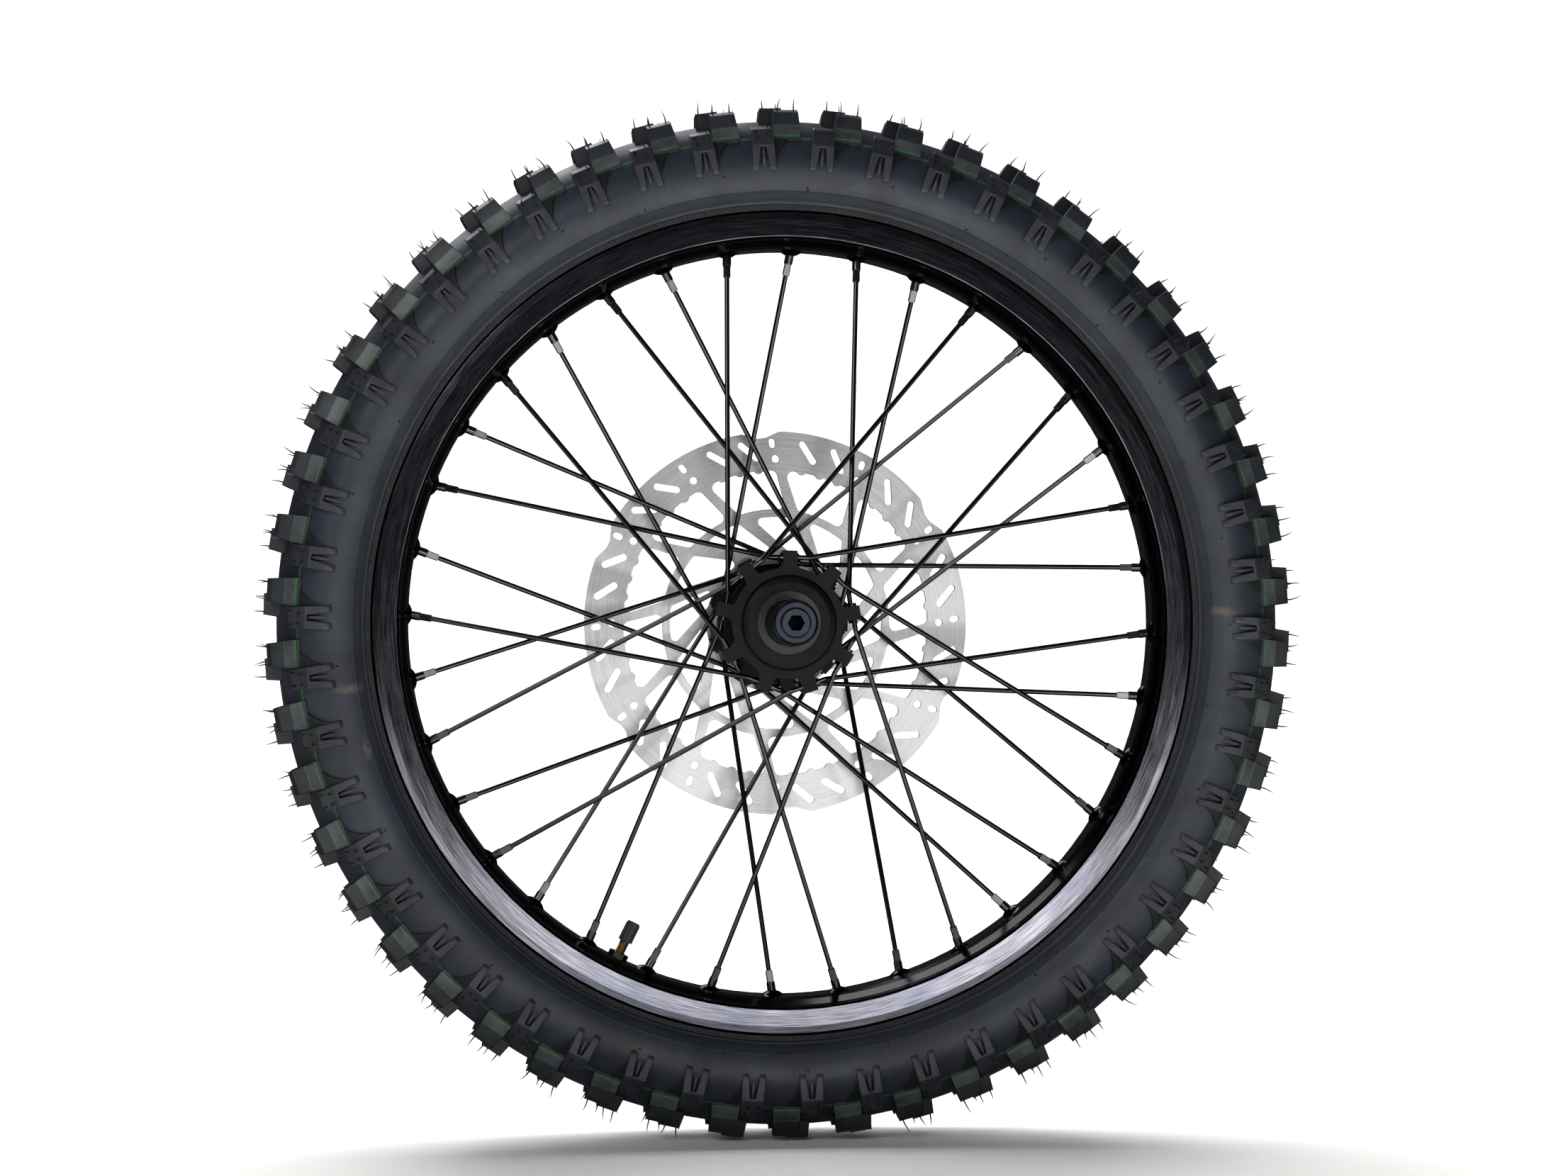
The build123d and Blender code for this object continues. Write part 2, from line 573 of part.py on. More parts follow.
# ================================================================ bearings and seals
def bearing(side, low_y):
    """Races, cage and balls of one bearing whose lower face is at low_y."""
    middle_y = low_y + BEARING_WIDTH / 2
    with BuildPart() as inner_race:
        ring(BEARING_BORE_R, INNER_RACE_R, low_y, low_y + BEARING_WIDTH)
        with Locations((0, middle_y, 0)):
            Torus(BALL_CIRCLE_R, BALL_R + BALL_GAP, rotation=(90, 0, 0), mode=Mode.SUBTRACT)
    save(inner_race, f"inner_race_{side}")
    with BuildPart() as outer_race:
        ring(OUTER_RACE_R, BEARING_OUT_R, low_y, low_y + BEARING_WIDTH)
        with Locations((0, middle_y, 0)):
            Torus(BALL_CIRCLE_R, BALL_R + BALL_GAP, rotation=(90, 0, 0), mode=Mode.SUBTRACT)
    save(outer_race, f"outer_race_{side}")
    with BuildPart() as cage:
        ring(BALL_CIRCLE_R - CAGE_THICK / 2, BALL_CIRCLE_R + CAGE_THICK / 2,
             middle_y - CAGE_HALF, middle_y + CAGE_HALF)
        for ball in range(BALLS):
            angle = ball * 360 / BALLS
            rod(on_wheel(BALL_CIRCLE_R - CAGE_THICK, angle, middle_y),
                on_wheel(BALL_CIRCLE_R + CAGE_THICK, angle, middle_y),
                BALL_R + CAGE_POCKET_GAP, Mode.SUBTRACT)
    save(cage, f"ball_cage_{side}")
    with BuildPart() as balls:
        for ball in range(BALLS):
            with Locations(on_wheel(BALL_CIRCLE_R, ball * 360 / BALLS, middle_y)):
                Sphere(BALL_R)
    save(balls, f"balls_{side}")


bearing("near", NEAR_BEARING_Y)
bearing("far", FAR_SHOULDER_Y)

with BuildPart() as seal_near:
    ring(SPACER_R + MOVING_GAP, BEARING_OUT_R, NEAR_BEARING_Y - SEAL_THICK, NEAR_BEARING_Y)
save(seal_near, "seal_near")

with BuildPart() as seal_far:
    ring(SPACER_R + MOVING_GAP, BEARING_OUT_R, FAR_BEARING_Y, FAR_BEARING_Y + SEAL_THICK)
save(seal_far, "seal_far")

# ================================================================ axle, spacers
AXLE_R = BEARING_BORE_R - SEAT_GAP
AXLE_SHANK_Y = AXLE_HEAD_Y + AXLE_HEAD_THICK
AXLE_FACE_Y = AXLE_HEAD_Y - AXLE_COLLAR_RISE
SOCKET_FLOOR_Y = AXLE_FACE_Y + HEX_DEPTH

with BuildPart() as axle_shaft:
    turned([
        (0, AXLE_FACE_Y),
        (AXLE_COLLAR_R - AXLE_CHAMFER, AXLE_FACE_Y),
        (AXLE_COLLAR_R, AXLE_FACE_Y + AXLE_CHAMFER),
        (AXLE_COLLAR_R, AXLE_HEAD_Y + AXLE_DISH),
        (AXLE_HEAD_R - AXLE_CHAMFER - AXLE_DISH, AXLE_HEAD_Y + AXLE_DISH),
        (AXLE_HEAD_R - AXLE_CHAMFER, AXLE_HEAD_Y),
        (AXLE_HEAD_R, AXLE_HEAD_Y + AXLE_CHAMFER),
        (AXLE_HEAD_R, AXLE_SHANK_Y),
        (AXLE_R, AXLE_SHANK_Y),
        (AXLE_R, AXLE_END_Y - AXLE_TIP_LENGTH),
        (AXLE_R - AXLE_TIP_STEP, AXLE_END_Y - AXLE_TIP_LENGTH),
        (AXLE_R - AXLE_TIP_STEP, AXLE_END_Y - AXLE_CHAMFER),
        (AXLE_R - AXLE_TIP_STEP - AXLE_CHAMFER, AXLE_END_Y),
        (AXLE_BORE_R, AXLE_END_Y),
        (AXLE_BORE_R, SOCKET_FLOOR_Y),
        (0, SOCKET_FLOOR_Y),
    ])
    with BuildSketch(Plane.XZ.offset(-AXLE_FACE_Y)) as socket:
        RegularPolygon(HEX_FLAT / 2, 6, major_radius=False)
    extrude(socket.sketch, amount=-HEX_DEPTH - CUT_PAST, mode=Mode.SUBTRACT)
save(axle_shaft, "axle_shaft")

with BuildPart() as spacer_near:
    ring(BEARING_BORE_R, SPACER_R, NEAR_SPACER_Y, NEAR_BEARING_Y)
save(spacer_near, "spacer_near")

with BuildPart() as spacer_far:
    ring(BEARING_BORE_R, SPACER_R, FAR_BEARING_Y, FAR_SPACER_Y)
save(spacer_far, "spacer_far")

with BuildPart() as bearing_spacer:
    ring(BEARING_BORE_R, INNER_RACE_R, NEAR_SHOULDER_Y, FAR_SHOULDER_Y)
save(bearing_spacer, "bearing_spacer")

# ================================================================ brake disc and its bolts
CELL = 360 / DISC_CELLS


def window(angles, in_r, out_r, corner_r):
    """Window outline: two leaning sides between an outer and an inner arc, with round corners."""
    outer_left, outer_right, inner_right, inner_left = angles
    outer_middle = flat_point(out_r, (outer_left + outer_right) / 2)
    inner_middle = flat_point(in_r, (inner_left + inner_right) / 2)
    corners = [flat_point(out_r, outer_left), flat_point(out_r, outer_right),
               flat_point(in_r, inner_right), flat_point(in_r, inner_left)]
    with BuildSketch() as opening:
        with BuildLine():
            ThreePointArc(corners[0], outer_middle, corners[1])
            Line(corners[1], corners[2])
            ThreePointArc(corners[2], inner_middle, corners[3])
            Line(corners[3], corners[0])
        make_face()
        fillet(opening.vertices(), radius=corner_r)
    return opening.sketch


with BuildPart() as brake_disc:
    with BuildSketch(Plane.XZ.offset(-DISC_Y)) as disc_face:
        Circle(DISC_R)
        Circle(SPIGOT_R + DISC_BORE_GAP, mode=Mode.SUBTRACT)
        wide = window(WIDE_WINDOW, DISC_RIB_OUT_R, DISC_BAND_R, WIDE_CORNER_R)
        slim = window(SLIM_WINDOW, DISC_CENTRE_R, DISC_RIB_IN_R, SLIM_CORNER_R)
        with PolarLocations(0, DISC_CELLS):
            add(wide, mode=Mode.SUBTRACT)
            add(slim, mode=Mode.SUBTRACT)
        for cell in range(DISC_CELLS):
            start = cell * CELL
            for lobe in WAVE_ANGLES:
                with Locations(flat_point(DISC_BAND_R + WAVE_R - WAVE_RISE, start + lobe)):
                    Circle(WAVE_R)
            for middle in SLOT_ANGLES:
                low = flat_point(SLOT_IN_R, start + middle - SLOT_LEAN)
                high = flat_point(SLOT_OUT_R, start + middle + SLOT_LEAN)
                length = math.dist(low, high) + SLOT_WIDTH
                lean = math.degrees(math.atan2(high[1] - low[1], high[0] - low[0]))
                with Locations(((low[0] + high[0]) / 2, (low[1] + high[1]) / 2)):
                    SlotOverall(length, SLOT_WIDTH, rotation=lean, mode=Mode.SUBTRACT)
            with Locations(flat_point(HOLE_PLACE[0], start + HOLE_PLACE[1])):
                Circle(HOLE_R, mode=Mode.SUBTRACT)
            with Locations(flat_point(OVAL_PLACE[0], start + OVAL_PLACE[1])):
                SlotOverall(OVAL_LENGTH, OVAL_WIDTH, rotation=start + OVAL_LEAN, mode=Mode.SUBTRACT)
        for notch in range(DISC_NOTCHES):
            middle = NOTCH_ANGLE + notch * 360 / DISC_NOTCHES
            with BuildLine():
                Polyline(
                    flat_point(DISC_R, middle - NOTCH_HALF_OUT),
                    flat_point(DISC_R - NOTCH_DEPTH, middle - NOTCH_HALF_IN),
                    flat_point(DISC_R - NOTCH_DEPTH, middle + NOTCH_HALF_IN),
                    flat_point(DISC_R, middle + NOTCH_HALF_OUT),
                    flat_point(DISC_R + NOTCH_DEPTH, middle),
                    close=True,
                )
            make_face(mode=Mode.SUBTRACT)
    extrude(disc_face.sketch, amount=-DISC_THICK)
    for number in range(BOLTS):
        angle = number * 360 / BOLTS
        rod(on_wheel(BOLT_CIRCLE_R, angle, DISC_Y - CUT_PAST),
            on_wheel(BOLT_CIRCLE_R, angle, DISC_Y + DISC_THICK + CUT_PAST),
            BOLT_R + BOLT_HOLE_GAP, Mode.SUBTRACT)
save(brake_disc, "brake_disc")

DISC_OUTER_Y = DISC_Y + DISC_THICK
with BuildPart() as disc_bolts:
    for number in range(BOLTS):
        foot = on_wheel(BOLT_CIRCLE_R, number * 360 / BOLTS, DISC_OUTER_Y)
        out = Vector(0, 1, 0)
        rod(foot - out * BOLT_LENGTH, foot, BOLT_R)
        with Locations(Plane(origin=foot, z_dir=out)):
            Cone(BOLT_HEAD_R, BOLT_HEAD_R - BOLT_HEAD_TAPER, BOLT_HEAD_THICK, align=CENTRED_UP)
        with BuildSketch(Plane(origin=foot + out * BOLT_HEAD_THICK, z_dir=out)) as socket:
            RegularPolygon(BOLT_SOCKET_FLAT / 2, 6, major_radius=False)
        extrude(socket.sketch, amount=-BOLT_SOCKET_DEPTH, mode=Mode.SUBTRACT)
save(disc_bolts, "disc_bolts")

# ================================================================ valve
def on_stem(radius):
    """Point on the middle line of the valve."""
    return on_wheel(radius, VALVE_ANGLE, 0)


STEM_END_R = TUBE_IN_R + TUBE_WALL + TUBE_FOOT_GAP
with BuildPart() as valve_stem:
    rod(on_stem(STEM_TIP_R), on_stem(STEM_END_R + STEM_FOOT_THICK), STEM_R)
    rod(on_stem(STEM_END_R), on_stem(STEM_END_R + STEM_FOOT_THICK), STEM_FOOT_R)
    rod(on_stem(STEM_TIP_R), on_stem(STEM_END_R + STEM_FOOT_THICK), STEM_BORE_R, Mode.SUBTRACT)
save(valve_stem, "valve_stem")

NUT_R = RIM_INNER_R - VALVE_NUT_GAP
with BuildPart() as valve_nut:
    with BuildSketch(Plane(origin=on_stem(NUT_R), z_dir=-on_stem(1))) as nut_face:
        RegularPolygon(VALVE_NUT_FLAT / 2, 6, major_radius=False)
        Circle(STEM_R + SEAT_GAP, mode=Mode.SUBTRACT)
    extrude(nut_face.sketch, amount=VALVE_NUT_THICK)
save(valve_nut, "valve_nut")

CORE_R = STEM_TIP_R + CORE_DEPTH
with BuildPart() as valve_core:
    rod(on_stem(CORE_R), on_stem(CORE_R + CORE_LENGTH), STEM_BORE_R - SEAT_GAP)
    rod(on_stem(CORE_R), on_stem(CORE_R + CORE_LENGTH), PIN_R + PIN_GAP, Mode.SUBTRACT)
save(valve_core, "valve_core")

WASHER_R = CORE_R + CORE_LENGTH + MOVING_GAP
with BuildPart() as valve_pin:
    rod(on_stem(STEM_TIP_R + PIN_DEPTH), on_stem(STEM_TIP_R + PIN_DEPTH + PIN_LENGTH), PIN_R)
    rod(on_stem(WASHER_R), on_stem(WASHER_R + PIN_WASHER_THICK), PIN_WASHER_R)
save(valve_pin, "valve_pin")

with BuildPart() as valve_cap:
    rod(on_stem(CAP_TIP_R), on_stem(CAP_TIP_R + CAP_LENGTH), CAP_R)
    inward = -on_stem(1)
    with BuildSketch(Plane(origin=on_stem(CAP_TIP_R + CAP_LENGTH), z_dir=inward)) as grip:
        with PolarLocations(CAP_R, CAP_RIBS):
            Circle(CAP_RIB_R)
    extrude(grip.sketch, amount=CAP_LENGTH - CAP_TOP_RIM)
    rod(on_stem(CAP_TIP_R + CAP_END_WALL), on_stem(CAP_TIP_R + CAP_LENGTH + CUT_PAST),
        STEM_R + CAP_GAP, Mode.SUBTRACT)
save(valve_cap, "valve_cap")
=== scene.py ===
# %% [markdown]
# # The front wheel of a small off-road motorcycle
# The solid parts of this wheel arrive finished and in place: metres, axle along Y, near side towards
# -Y, Z up. This lesson gives them the look of the real thing. Rubber is modelled afresh, because
# a tyre is all soft curves and small moulded marks. Machined parts keep their exact shape and only
# get their finish. The first cell loads the parts and brings a helper that finds the box a part fills.

# %% Bring in the wheel
import json
import math
import random

import bpy
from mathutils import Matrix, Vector


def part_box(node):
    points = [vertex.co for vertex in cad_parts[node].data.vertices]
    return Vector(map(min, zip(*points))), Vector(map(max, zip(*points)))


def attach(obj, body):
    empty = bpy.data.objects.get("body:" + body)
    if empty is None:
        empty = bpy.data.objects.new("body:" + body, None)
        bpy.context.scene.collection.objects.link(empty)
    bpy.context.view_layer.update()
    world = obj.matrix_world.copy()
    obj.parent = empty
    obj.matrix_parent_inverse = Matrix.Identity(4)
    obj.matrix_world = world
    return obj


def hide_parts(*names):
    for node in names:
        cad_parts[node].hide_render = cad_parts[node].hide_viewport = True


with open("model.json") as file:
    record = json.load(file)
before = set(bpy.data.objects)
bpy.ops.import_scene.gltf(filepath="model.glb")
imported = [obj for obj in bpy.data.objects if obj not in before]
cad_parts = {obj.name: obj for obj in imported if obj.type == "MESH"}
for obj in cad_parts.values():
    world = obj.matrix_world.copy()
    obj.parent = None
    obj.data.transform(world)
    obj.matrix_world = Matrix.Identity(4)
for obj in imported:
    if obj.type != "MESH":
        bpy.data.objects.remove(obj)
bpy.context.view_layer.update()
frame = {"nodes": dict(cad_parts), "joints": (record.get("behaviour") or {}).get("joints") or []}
nodes = frame["nodes"]
MM = 0.001

# %% [markdown]
# ## Small helpers
# Paint and anodising are given as web colours, which are sRGB, and shaders work in linear light, so
# one function converts them. Another adds a shader node with its settings and its links, which
# keeps each material to a short list of what matters.

# %% Colour and node helpers
def linear(web_colour):
    """Linear red, green, blue and alpha of a colour such as #2a2c31."""
    parts = [int(web_colour[i:i + 2], 16) / 255 for i in (1, 3, 5)]
    return tuple(c / 12.92 if c < 0.04045 else ((c + 0.055) / 1.055) ** 2.4 for c in parts) + (1.0,)


def node(tree, kind, inputs=None, **settings):
    """Adds a node, sets its properties, and fills its inputs.

    An input is a value, an output of another node, or a node, which stands for its first output.
    """
    made = tree.nodes.new("ShaderNode" + kind)
    for name, value in settings.items():
        setattr(made, name, value)
    for name, value in (inputs or {}).items():
        if isinstance(value, bpy.types.Node):
            value = value.outputs[0]
        if isinstance(value, bpy.types.NodeSocket):
            tree.links.new(value, made.inputs[name])
        else:
            made.inputs[name].default_value = value
    return made


def new_finish(name, **sockets):
    """Empty material with one Principled shader whose plain sockets are set directly."""
    finish = bpy.data.materials.new(name)
    finish.use_nodes = True
    tree = finish.node_tree
    tree.nodes.clear()
    shader = node(tree, "BsdfPrincipled")
    node(tree, "OutputMaterial", {"Surface": shader.outputs["BSDF"]})
    for socket, value in sockets.items():
        shader.inputs[socket.replace("_", " ")].default_value = value
    return finish, tree, shader


print("a tyre's charcoal in linear light:", [round(c, 4) for c in linear("#2a2c31")])

# %% [markdown]
# ## Where a point lies on the wheel
# Marks on a wheel follow its turning: brush lines run round it, smudges run out from its middle.
# These nodes turn a piece's own coordinates into the distance from the axle line, the direction
# out from it, and the place across the wheel. The direction is kept as a unit vector, because an
# angle would leave a seam where it jumps from one half turn to the other.

# %% Wheel coordinates for shaders
def wheel_place(tree):
    """Position, radius, outward direction and place along the axle of the shaded point."""
    place = node(tree, "TexCoord").outputs["Object"]
    axes = node(tree, "SeparateXYZ", {0: place})
    flat = node(tree, "CombineXYZ", {"X": axes.outputs["X"], "Z": axes.outputs["Z"]})
    radius = node(tree, "VectorMath", {0: flat}, operation="LENGTH")
    way = node(tree, "VectorMath", {0: flat}, operation="NORMALIZE")
    return place, radius.outputs["Value"], way.outputs[0], axes.outputs["Y"]


def round_streaks(tree, radius, way, streak_width, streak_length, at_radius):
    """Fine noise drawn out round the axle, as a lathe, a buff or a polishing belt leaves it."""
    along = node(tree, "VectorMath",
                 {0: way, "Scale": at_radius / streak_length}, operation="SCALE")
    across = node(tree, "Math", {0: radius, 1: 1 / streak_width}, operation="MULTIPLY")
    lift = node(tree, "CombineXYZ", {"Y": across})
    where = node(tree, "VectorMath", {0: along, 1: lift}, operation="ADD")
    return node(tree, "TexNoise", {"Vector": where, "Scale": 1.0, "Detail": 3.0}).outputs[0]


def band(tree, value, low, high, edge):
    """1 where value lies between low and high, with a soft edge on both sides."""
    rise = node(tree, "MapRange", {"Value": value, "From Min": low - edge, "From Max": low + edge})
    fall = node(tree, "MapRange", {"Value": value, "From Min": high + edge,
                                   "From Max": high - edge})
    both = node(tree, "Math", {0: rise, 1: fall}, operation="MULTIPLY")
    return both.outputs[0]


print("wheel coordinates ready")

# %% [markdown]
# ## How a finish is built up
# A real surface is never one flat colour. Each finish here starts from a base colour and lays others
# over it where a pattern is strong, lets its gloss drift with the same pattern, and ends with a fine
# relief. Its edges are eased by a shader, so that they catch the light as machined edges do without
# a bevel on every part.

# %% Layers, gloss, relief and brushed shine
# a noise stays mostly between these two values
NOISE_LOW, NOISE_HIGH = 0.3, 0.7


def layer(tree, below, pattern, start, full, colour, strength=1.0):
    """Lays a colour over what is below: none where the pattern is at start, full strength at full."""
    amount = node(tree, "MapRange", {"Value": pattern, "From Min": start,
                                     "From Max": full, "To Max": strength})
    if isinstance(below, str):
        below = linear(below)
    # sockets 6 and 7 and output 2 of a mix are its colours
    return node(tree, "Mix", {0: amount, 6: below, 7: linear(colour)}, data_type="RGBA").outputs[2]


def uneven_gloss(tree, pattern, at_low, at_high):
    """Roughness that drifts with a noise from one value to another."""
    return node(tree, "MapRange", {"Value": pattern, "From Min": NOISE_LOW,
                                   "From Max": NOISE_HIGH, "To Min": at_low,
                                   "To Max": at_high}).outputs[0]


def relief(tree, height, strength, depth, edge):
    """Normal of a fine relief, depth in mm, on a surface whose edges are eased by a radius in mm."""
    bump = node(tree, "Bump", {"Height": height, "Strength": strength, "Distance": depth * MM})
    return node(tree, "Bevel", {"Radius": edge * MM, "Normal": bump}, samples=3).outputs[0]


def brushed_shine(tree, shader, amount):
    """Draws highlights out across brush lines that run round the axle."""
    shader.inputs["Anisotropic"].default_value = amount
    round_way = node(tree, "Tangent", direction_type="RADIAL", axis="Y")
    tree.links.new(round_way.outputs[0], shader.inputs["Tangent"])


def finish_with(tree, shader, colour, roughness, normal):
    """Links the three things that every finish ends with."""
    tree.links.new(colour, shader.inputs["Base Color"])
    tree.links.new(roughness, shader.inputs["Roughness"])
    tree.links.new(normal, shader.inputs["Normal"])


print("finish helpers ready")

# %% [markdown]
# ## Camera
# The wheel is seen almost square on, with the eye level with the axle and turned five degrees, so
# that a little of the near hub face shows. A longish lens keeps the rim round.

# %% Camera
EYE_DISTANCE = 1.75
EYE_TURN = math.radians(-5.0)
SENSOR_WIDTH = 36.0      # mm, as is the lens
LENS = 71.6
SHIFT_ASIDE, SHIFT_UP = 0.0011, 0.0223      # the middle of the frame lies a little off the axle
camera_data = bpy.data.cameras.new("studio_camera")
camera_data.sensor_width = SENSOR_WIDTH
camera_data.lens = LENS
camera_data.shift_x = SHIFT_ASIDE
camera_data.shift_y = SHIFT_UP
camera = bpy.data.objects.new("studio_camera", camera_data)
bpy.context.scene.collection.objects.link(camera)
camera.location = (math.sin(EYE_TURN) * EYE_DISTANCE, -math.cos(EYE_TURN) * EYE_DISTANCE, 0.0)
camera.rotation_euler = (math.radians(90), 0, EYE_TURN)
bpy.context.scene.camera = camera
print("camera at", [round(c, 3) for c in camera.location])

# %% [markdown]
# ## Paper floor
# The wheel stands on pale paper that sweeps up behind it, so there is no horizon. Photographers hang
# black cloth round gloss black parts, since gloss shows whatever is near. Here the paper behind the
# wheel is kept out of mirror reflections, which does the work of the cloth. The paper in front stays
# in them, and gives the brushed rim its silvery sheen along the bottom.

# %% Paper floor and sweep
tyre_low, tyre_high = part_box("tyre")
FLOOR_Z = tyre_low[2]
SWEEP_START = 0.9       # where the paper starts to curve up, behind the wheel
SWEEP_RADIUS = 0.9
SWEEP_STEPS = 16
SWEEP_TOP = 2.6
PAPER_HALF = 3.2
PAPER_FRONT = -2.6
PAPER_SPLIT = -0.12     # the paper in front of this line shows in reflections


def mesh_object(name, vertices, faces, smooth=True):
    """New object from vertices and faces, linked to the scene."""
    mesh = bpy.data.meshes.new(name)
    mesh.from_pydata(vertices, [], faces)
    mesh.update()
    made = bpy.data.objects.new(name, mesh)
    bpy.context.scene.collection.objects.link(made)
    for face in mesh.polygons:
        face.use_smooth = smooth
    return made


def paper_sheet(name, outline, finish):
    """Sheet of paper that follows an outline of (y, z) points."""
    count = len(outline)
    points = [(side * PAPER_HALF, y, FLOOR_Z + z) for side in (-1, 1) for y, z in outline]
    faces = [(i, i + 1, i + 1 + count, i + count) for i in range(count - 1)]
    sheet = mesh_object(name, points, faces)
    sheet.data.materials.append(finish)
    return sheet


paper, tree, shader = new_finish("matt_paper", Roughness=0.9)
shader.inputs["Base Color"].default_value = linear("#f4f4f2")
paper_sheet("paper_front", [(PAPER_FRONT, 0.0), (PAPER_SPLIT, 0.0)], paper)
quarter = [math.pi / 2 * step / SWEEP_STEPS for step in range(SWEEP_STEPS + 1)]
sweep = [(PAPER_SPLIT, 0.0)]
sweep += [(SWEEP_START + SWEEP_RADIUS * math.sin(turn), SWEEP_RADIUS * (1 - math.cos(turn)))
          for turn in quarter]
sweep.append((SWEEP_START + SWEEP_RADIUS, SWEEP_TOP))
paper_behind = paper_sheet("paper_behind", sweep, paper)
paper_behind.visible_glossy = False
print("floor at", round(FLOOR_Z, 4))

# %% [markdown]
# ## Light
# Six soft lamps light the wheel. One lights the paper behind. The key hangs in front, high and to
# the left, and draws a thin line along each spoke. A small square one stands where the flat disc
# mirrors it to the camera, and a shaded one overhead lights only the paper in front. A small low one
# picks out the knobs along the bottom, and one behind shows the far side. The air itself is dim.

# %% Lamps
# name, place, point it faces, width and height in metres, power in watts
LAMPS = [
    ("background_lamp", (0.0, 0.9, 2.3), (0.0, 1.5, 0.0), (3.4, 1.0), 120),
    ("key_lamp", (-1.2, -1.6, 1.1), (0.0, 0.0, 0.0), (0.9, 0.7), 12.5),
    ("disc_lamp", (0.175, -2.0, 0.0), (0.0, 0.0, 0.0), (0.36, 0.36), 1.9),
    ("paper_lamp", (0.25, -1.3, 1.7), (0.25, -1.25, FLOOR_Z), (0.6, 0.6), 13),
    ("low_lamp", (0.2, -1.5, -0.15), (0.0, 0.0, -0.24), (0.4, 0.2), 1.3),
    ("back_lamp", (-0.6, 1.5, 1.5), (0.0, 0.0, 0.0), (1.3, 0.8), 14),
]
PAPER_LAMP_SPREAD = math.radians(50)
AIR_COLOUR, AIR_STRENGTH = "#e8ebf2", 0.035


def soft_lamp(name, place, aim, size, power):
    """Rectangular lamp at a place, turned to face a point."""
    data = bpy.data.lights.new(name, "AREA")
    data.shape = "RECTANGLE"
    data.size, data.size_y = size
    data.energy = power
    lamp = bpy.data.objects.new(name, data)
    bpy.context.scene.collection.objects.link(lamp)
    lamp.location = place
    lamp.rotation_euler = (Vector(aim) - Vector(place)).to_track_quat("-Z", "Y").to_euler()
    return lamp


lamps = {name: soft_lamp(name, *settings) for name, *settings in LAMPS}
lamps["background_lamp"].visible_glossy = False
lamps["paper_lamp"].data.spread = PAPER_LAMP_SPREAD
world = bpy.data.worlds.new("studio_air")
bpy.context.scene.world = world
world.use_nodes = True
air = world.node_tree.nodes["Background"]
air.inputs["Color"].default_value = linear(AIR_COLOUR)
air.inputs["Strength"].default_value = AIR_STRENGTH
bpy.context.scene.view_settings.view_transform = "Standard"
print("lamps:", list(lamps))

# %% [markdown]
# ## Stains on the sidewall
# A ridden tyre carries dried mud and rubbed patches. Each stain is an ellipse of colour at a place
# on the near sidewall. Noise eats into its edge, so it looks smeared by hand and not stamped.

# %% Stains
# direction in degrees, radius, reach round and reach out in mm, colour, strength
STAINS = [
    (188.5, 242.0, 3.0, 8.0, "#75695a", 0.5),
    (196.5, 240.0, 6.0, 3.0, "#756a5a", 0.45),
    (1.5, 243.5, 3.0, 8.0, "#80705a", 0.40),
    (251.0, 247.0, 20.0, 7.0, "#4f443e", 0.18),
    (77.7, 241.5, 11.0, 7.0, "#141518", 0.75),
    (318.0, 243.0, 26.0, 12.0, "#3a3b40", 0.30),
]
STAIN_GAP = 3.85            # mm, size of the gaps that break a stain up
NEAR_SIDE = (-10.0, -14.0)  # stains come in between these two places across the tyre, mm


def stain_amount(tree, place, degrees, radius, reach_round, reach_out):
    """How strongly a stain covers the shaded point: full in its middle, broken up towards its edge."""
    turn = math.radians(degrees)
    middle = Vector((math.cos(turn), 0, math.sin(turn))) * radius * MM
    shifted = node(tree, "Mapping", {"Vector": place, "Location": (-middle.x, 0.0, -middle.z)})
    turned = node(tree, "Mapping", {"Vector": shifted, "Rotation": (0.0, turn, 0.0)})
    squeezed = node(tree, "VectorMath",
                    {0: turned, 1: (1 / (reach_out * MM), 0.0, 1 / (reach_round * MM))},
                    operation="MULTIPLY")
    reach = node(tree, "VectorMath", {0: squeezed}, operation="LENGTH")
    broken = node(tree, "TexNoise", {"Vector": place, "Scale": 1 / (STAIN_GAP * MM), "Detail": 6.0})
    ragged = node(tree, "Math", {0: broken, 1: 1.6, 2: -0.8}, operation="MULTIPLY_ADD")
    edge = node(tree, "Math", {0: reach.outputs["Value"], 1: ragged}, operation="ADD")
    return node(tree, "MapRange", {"Value": edge, "From Min": 1.1, "From Max": 0.2}).outputs[0]


def stained(tree, colour, place, across):
    """Lays the stains over a colour, on the near side only."""
    near = node(tree, "MapRange", {"Value": across, "From Min": NEAR_SIDE[0] * MM,
                                   "From Max": NEAR_SIDE[1] * MM})
    for *where, tone, strength in STAINS:
        amount = stain_amount(tree, place, *where)
        shown = node(tree, "Math", {0: amount, 1: near}, operation="MULTIPLY")
        colour = layer(tree, colour, shown.outputs[0], 0.0, 1.0, tone, strength)
    return colour


print("stains:", len(STAINS))

# %% [markdown]
# ## Rubber
# A tyre is natural and synthetic rubber filled with carbon black and pressed in a steel mould. Its
# skin is dull charcoal, faintly blue, with cloudy patches of mould wax, a fine grain, and dust
# that clings after handling. The colour line painted round the tread before moulding marks the
# size in the factory. Rubber is a dielectric: no metal, IOR about 1.52, rough.

# %% Moulded rubber
CLOUD_SIZE = 29.4           # mm across: patches of wax
SPECK_SIZE = 4.76           # from one dust speck to the next
DUSTY_SIZE = 11.1           # areas where the specks lie
DENT_SIZE = 8.33            # shallow unevenness from the mould
WORN_SIZE = 2.38            # gaps in the painted lines
# the second colour on the next line is painted shade for the crease beside the rim lip; the other two
# are real dust and paint
DUST, PAINTED_BEAD_SHADE, FACTORY_GREEN = "#77746e", "#0c0d0f", "#33663c"
SHADE_OUTER, SHADE_INNER = 235.0, 231.5     # the sidewall darkens towards the rim between these radii
LINE_EDGE = 0.12
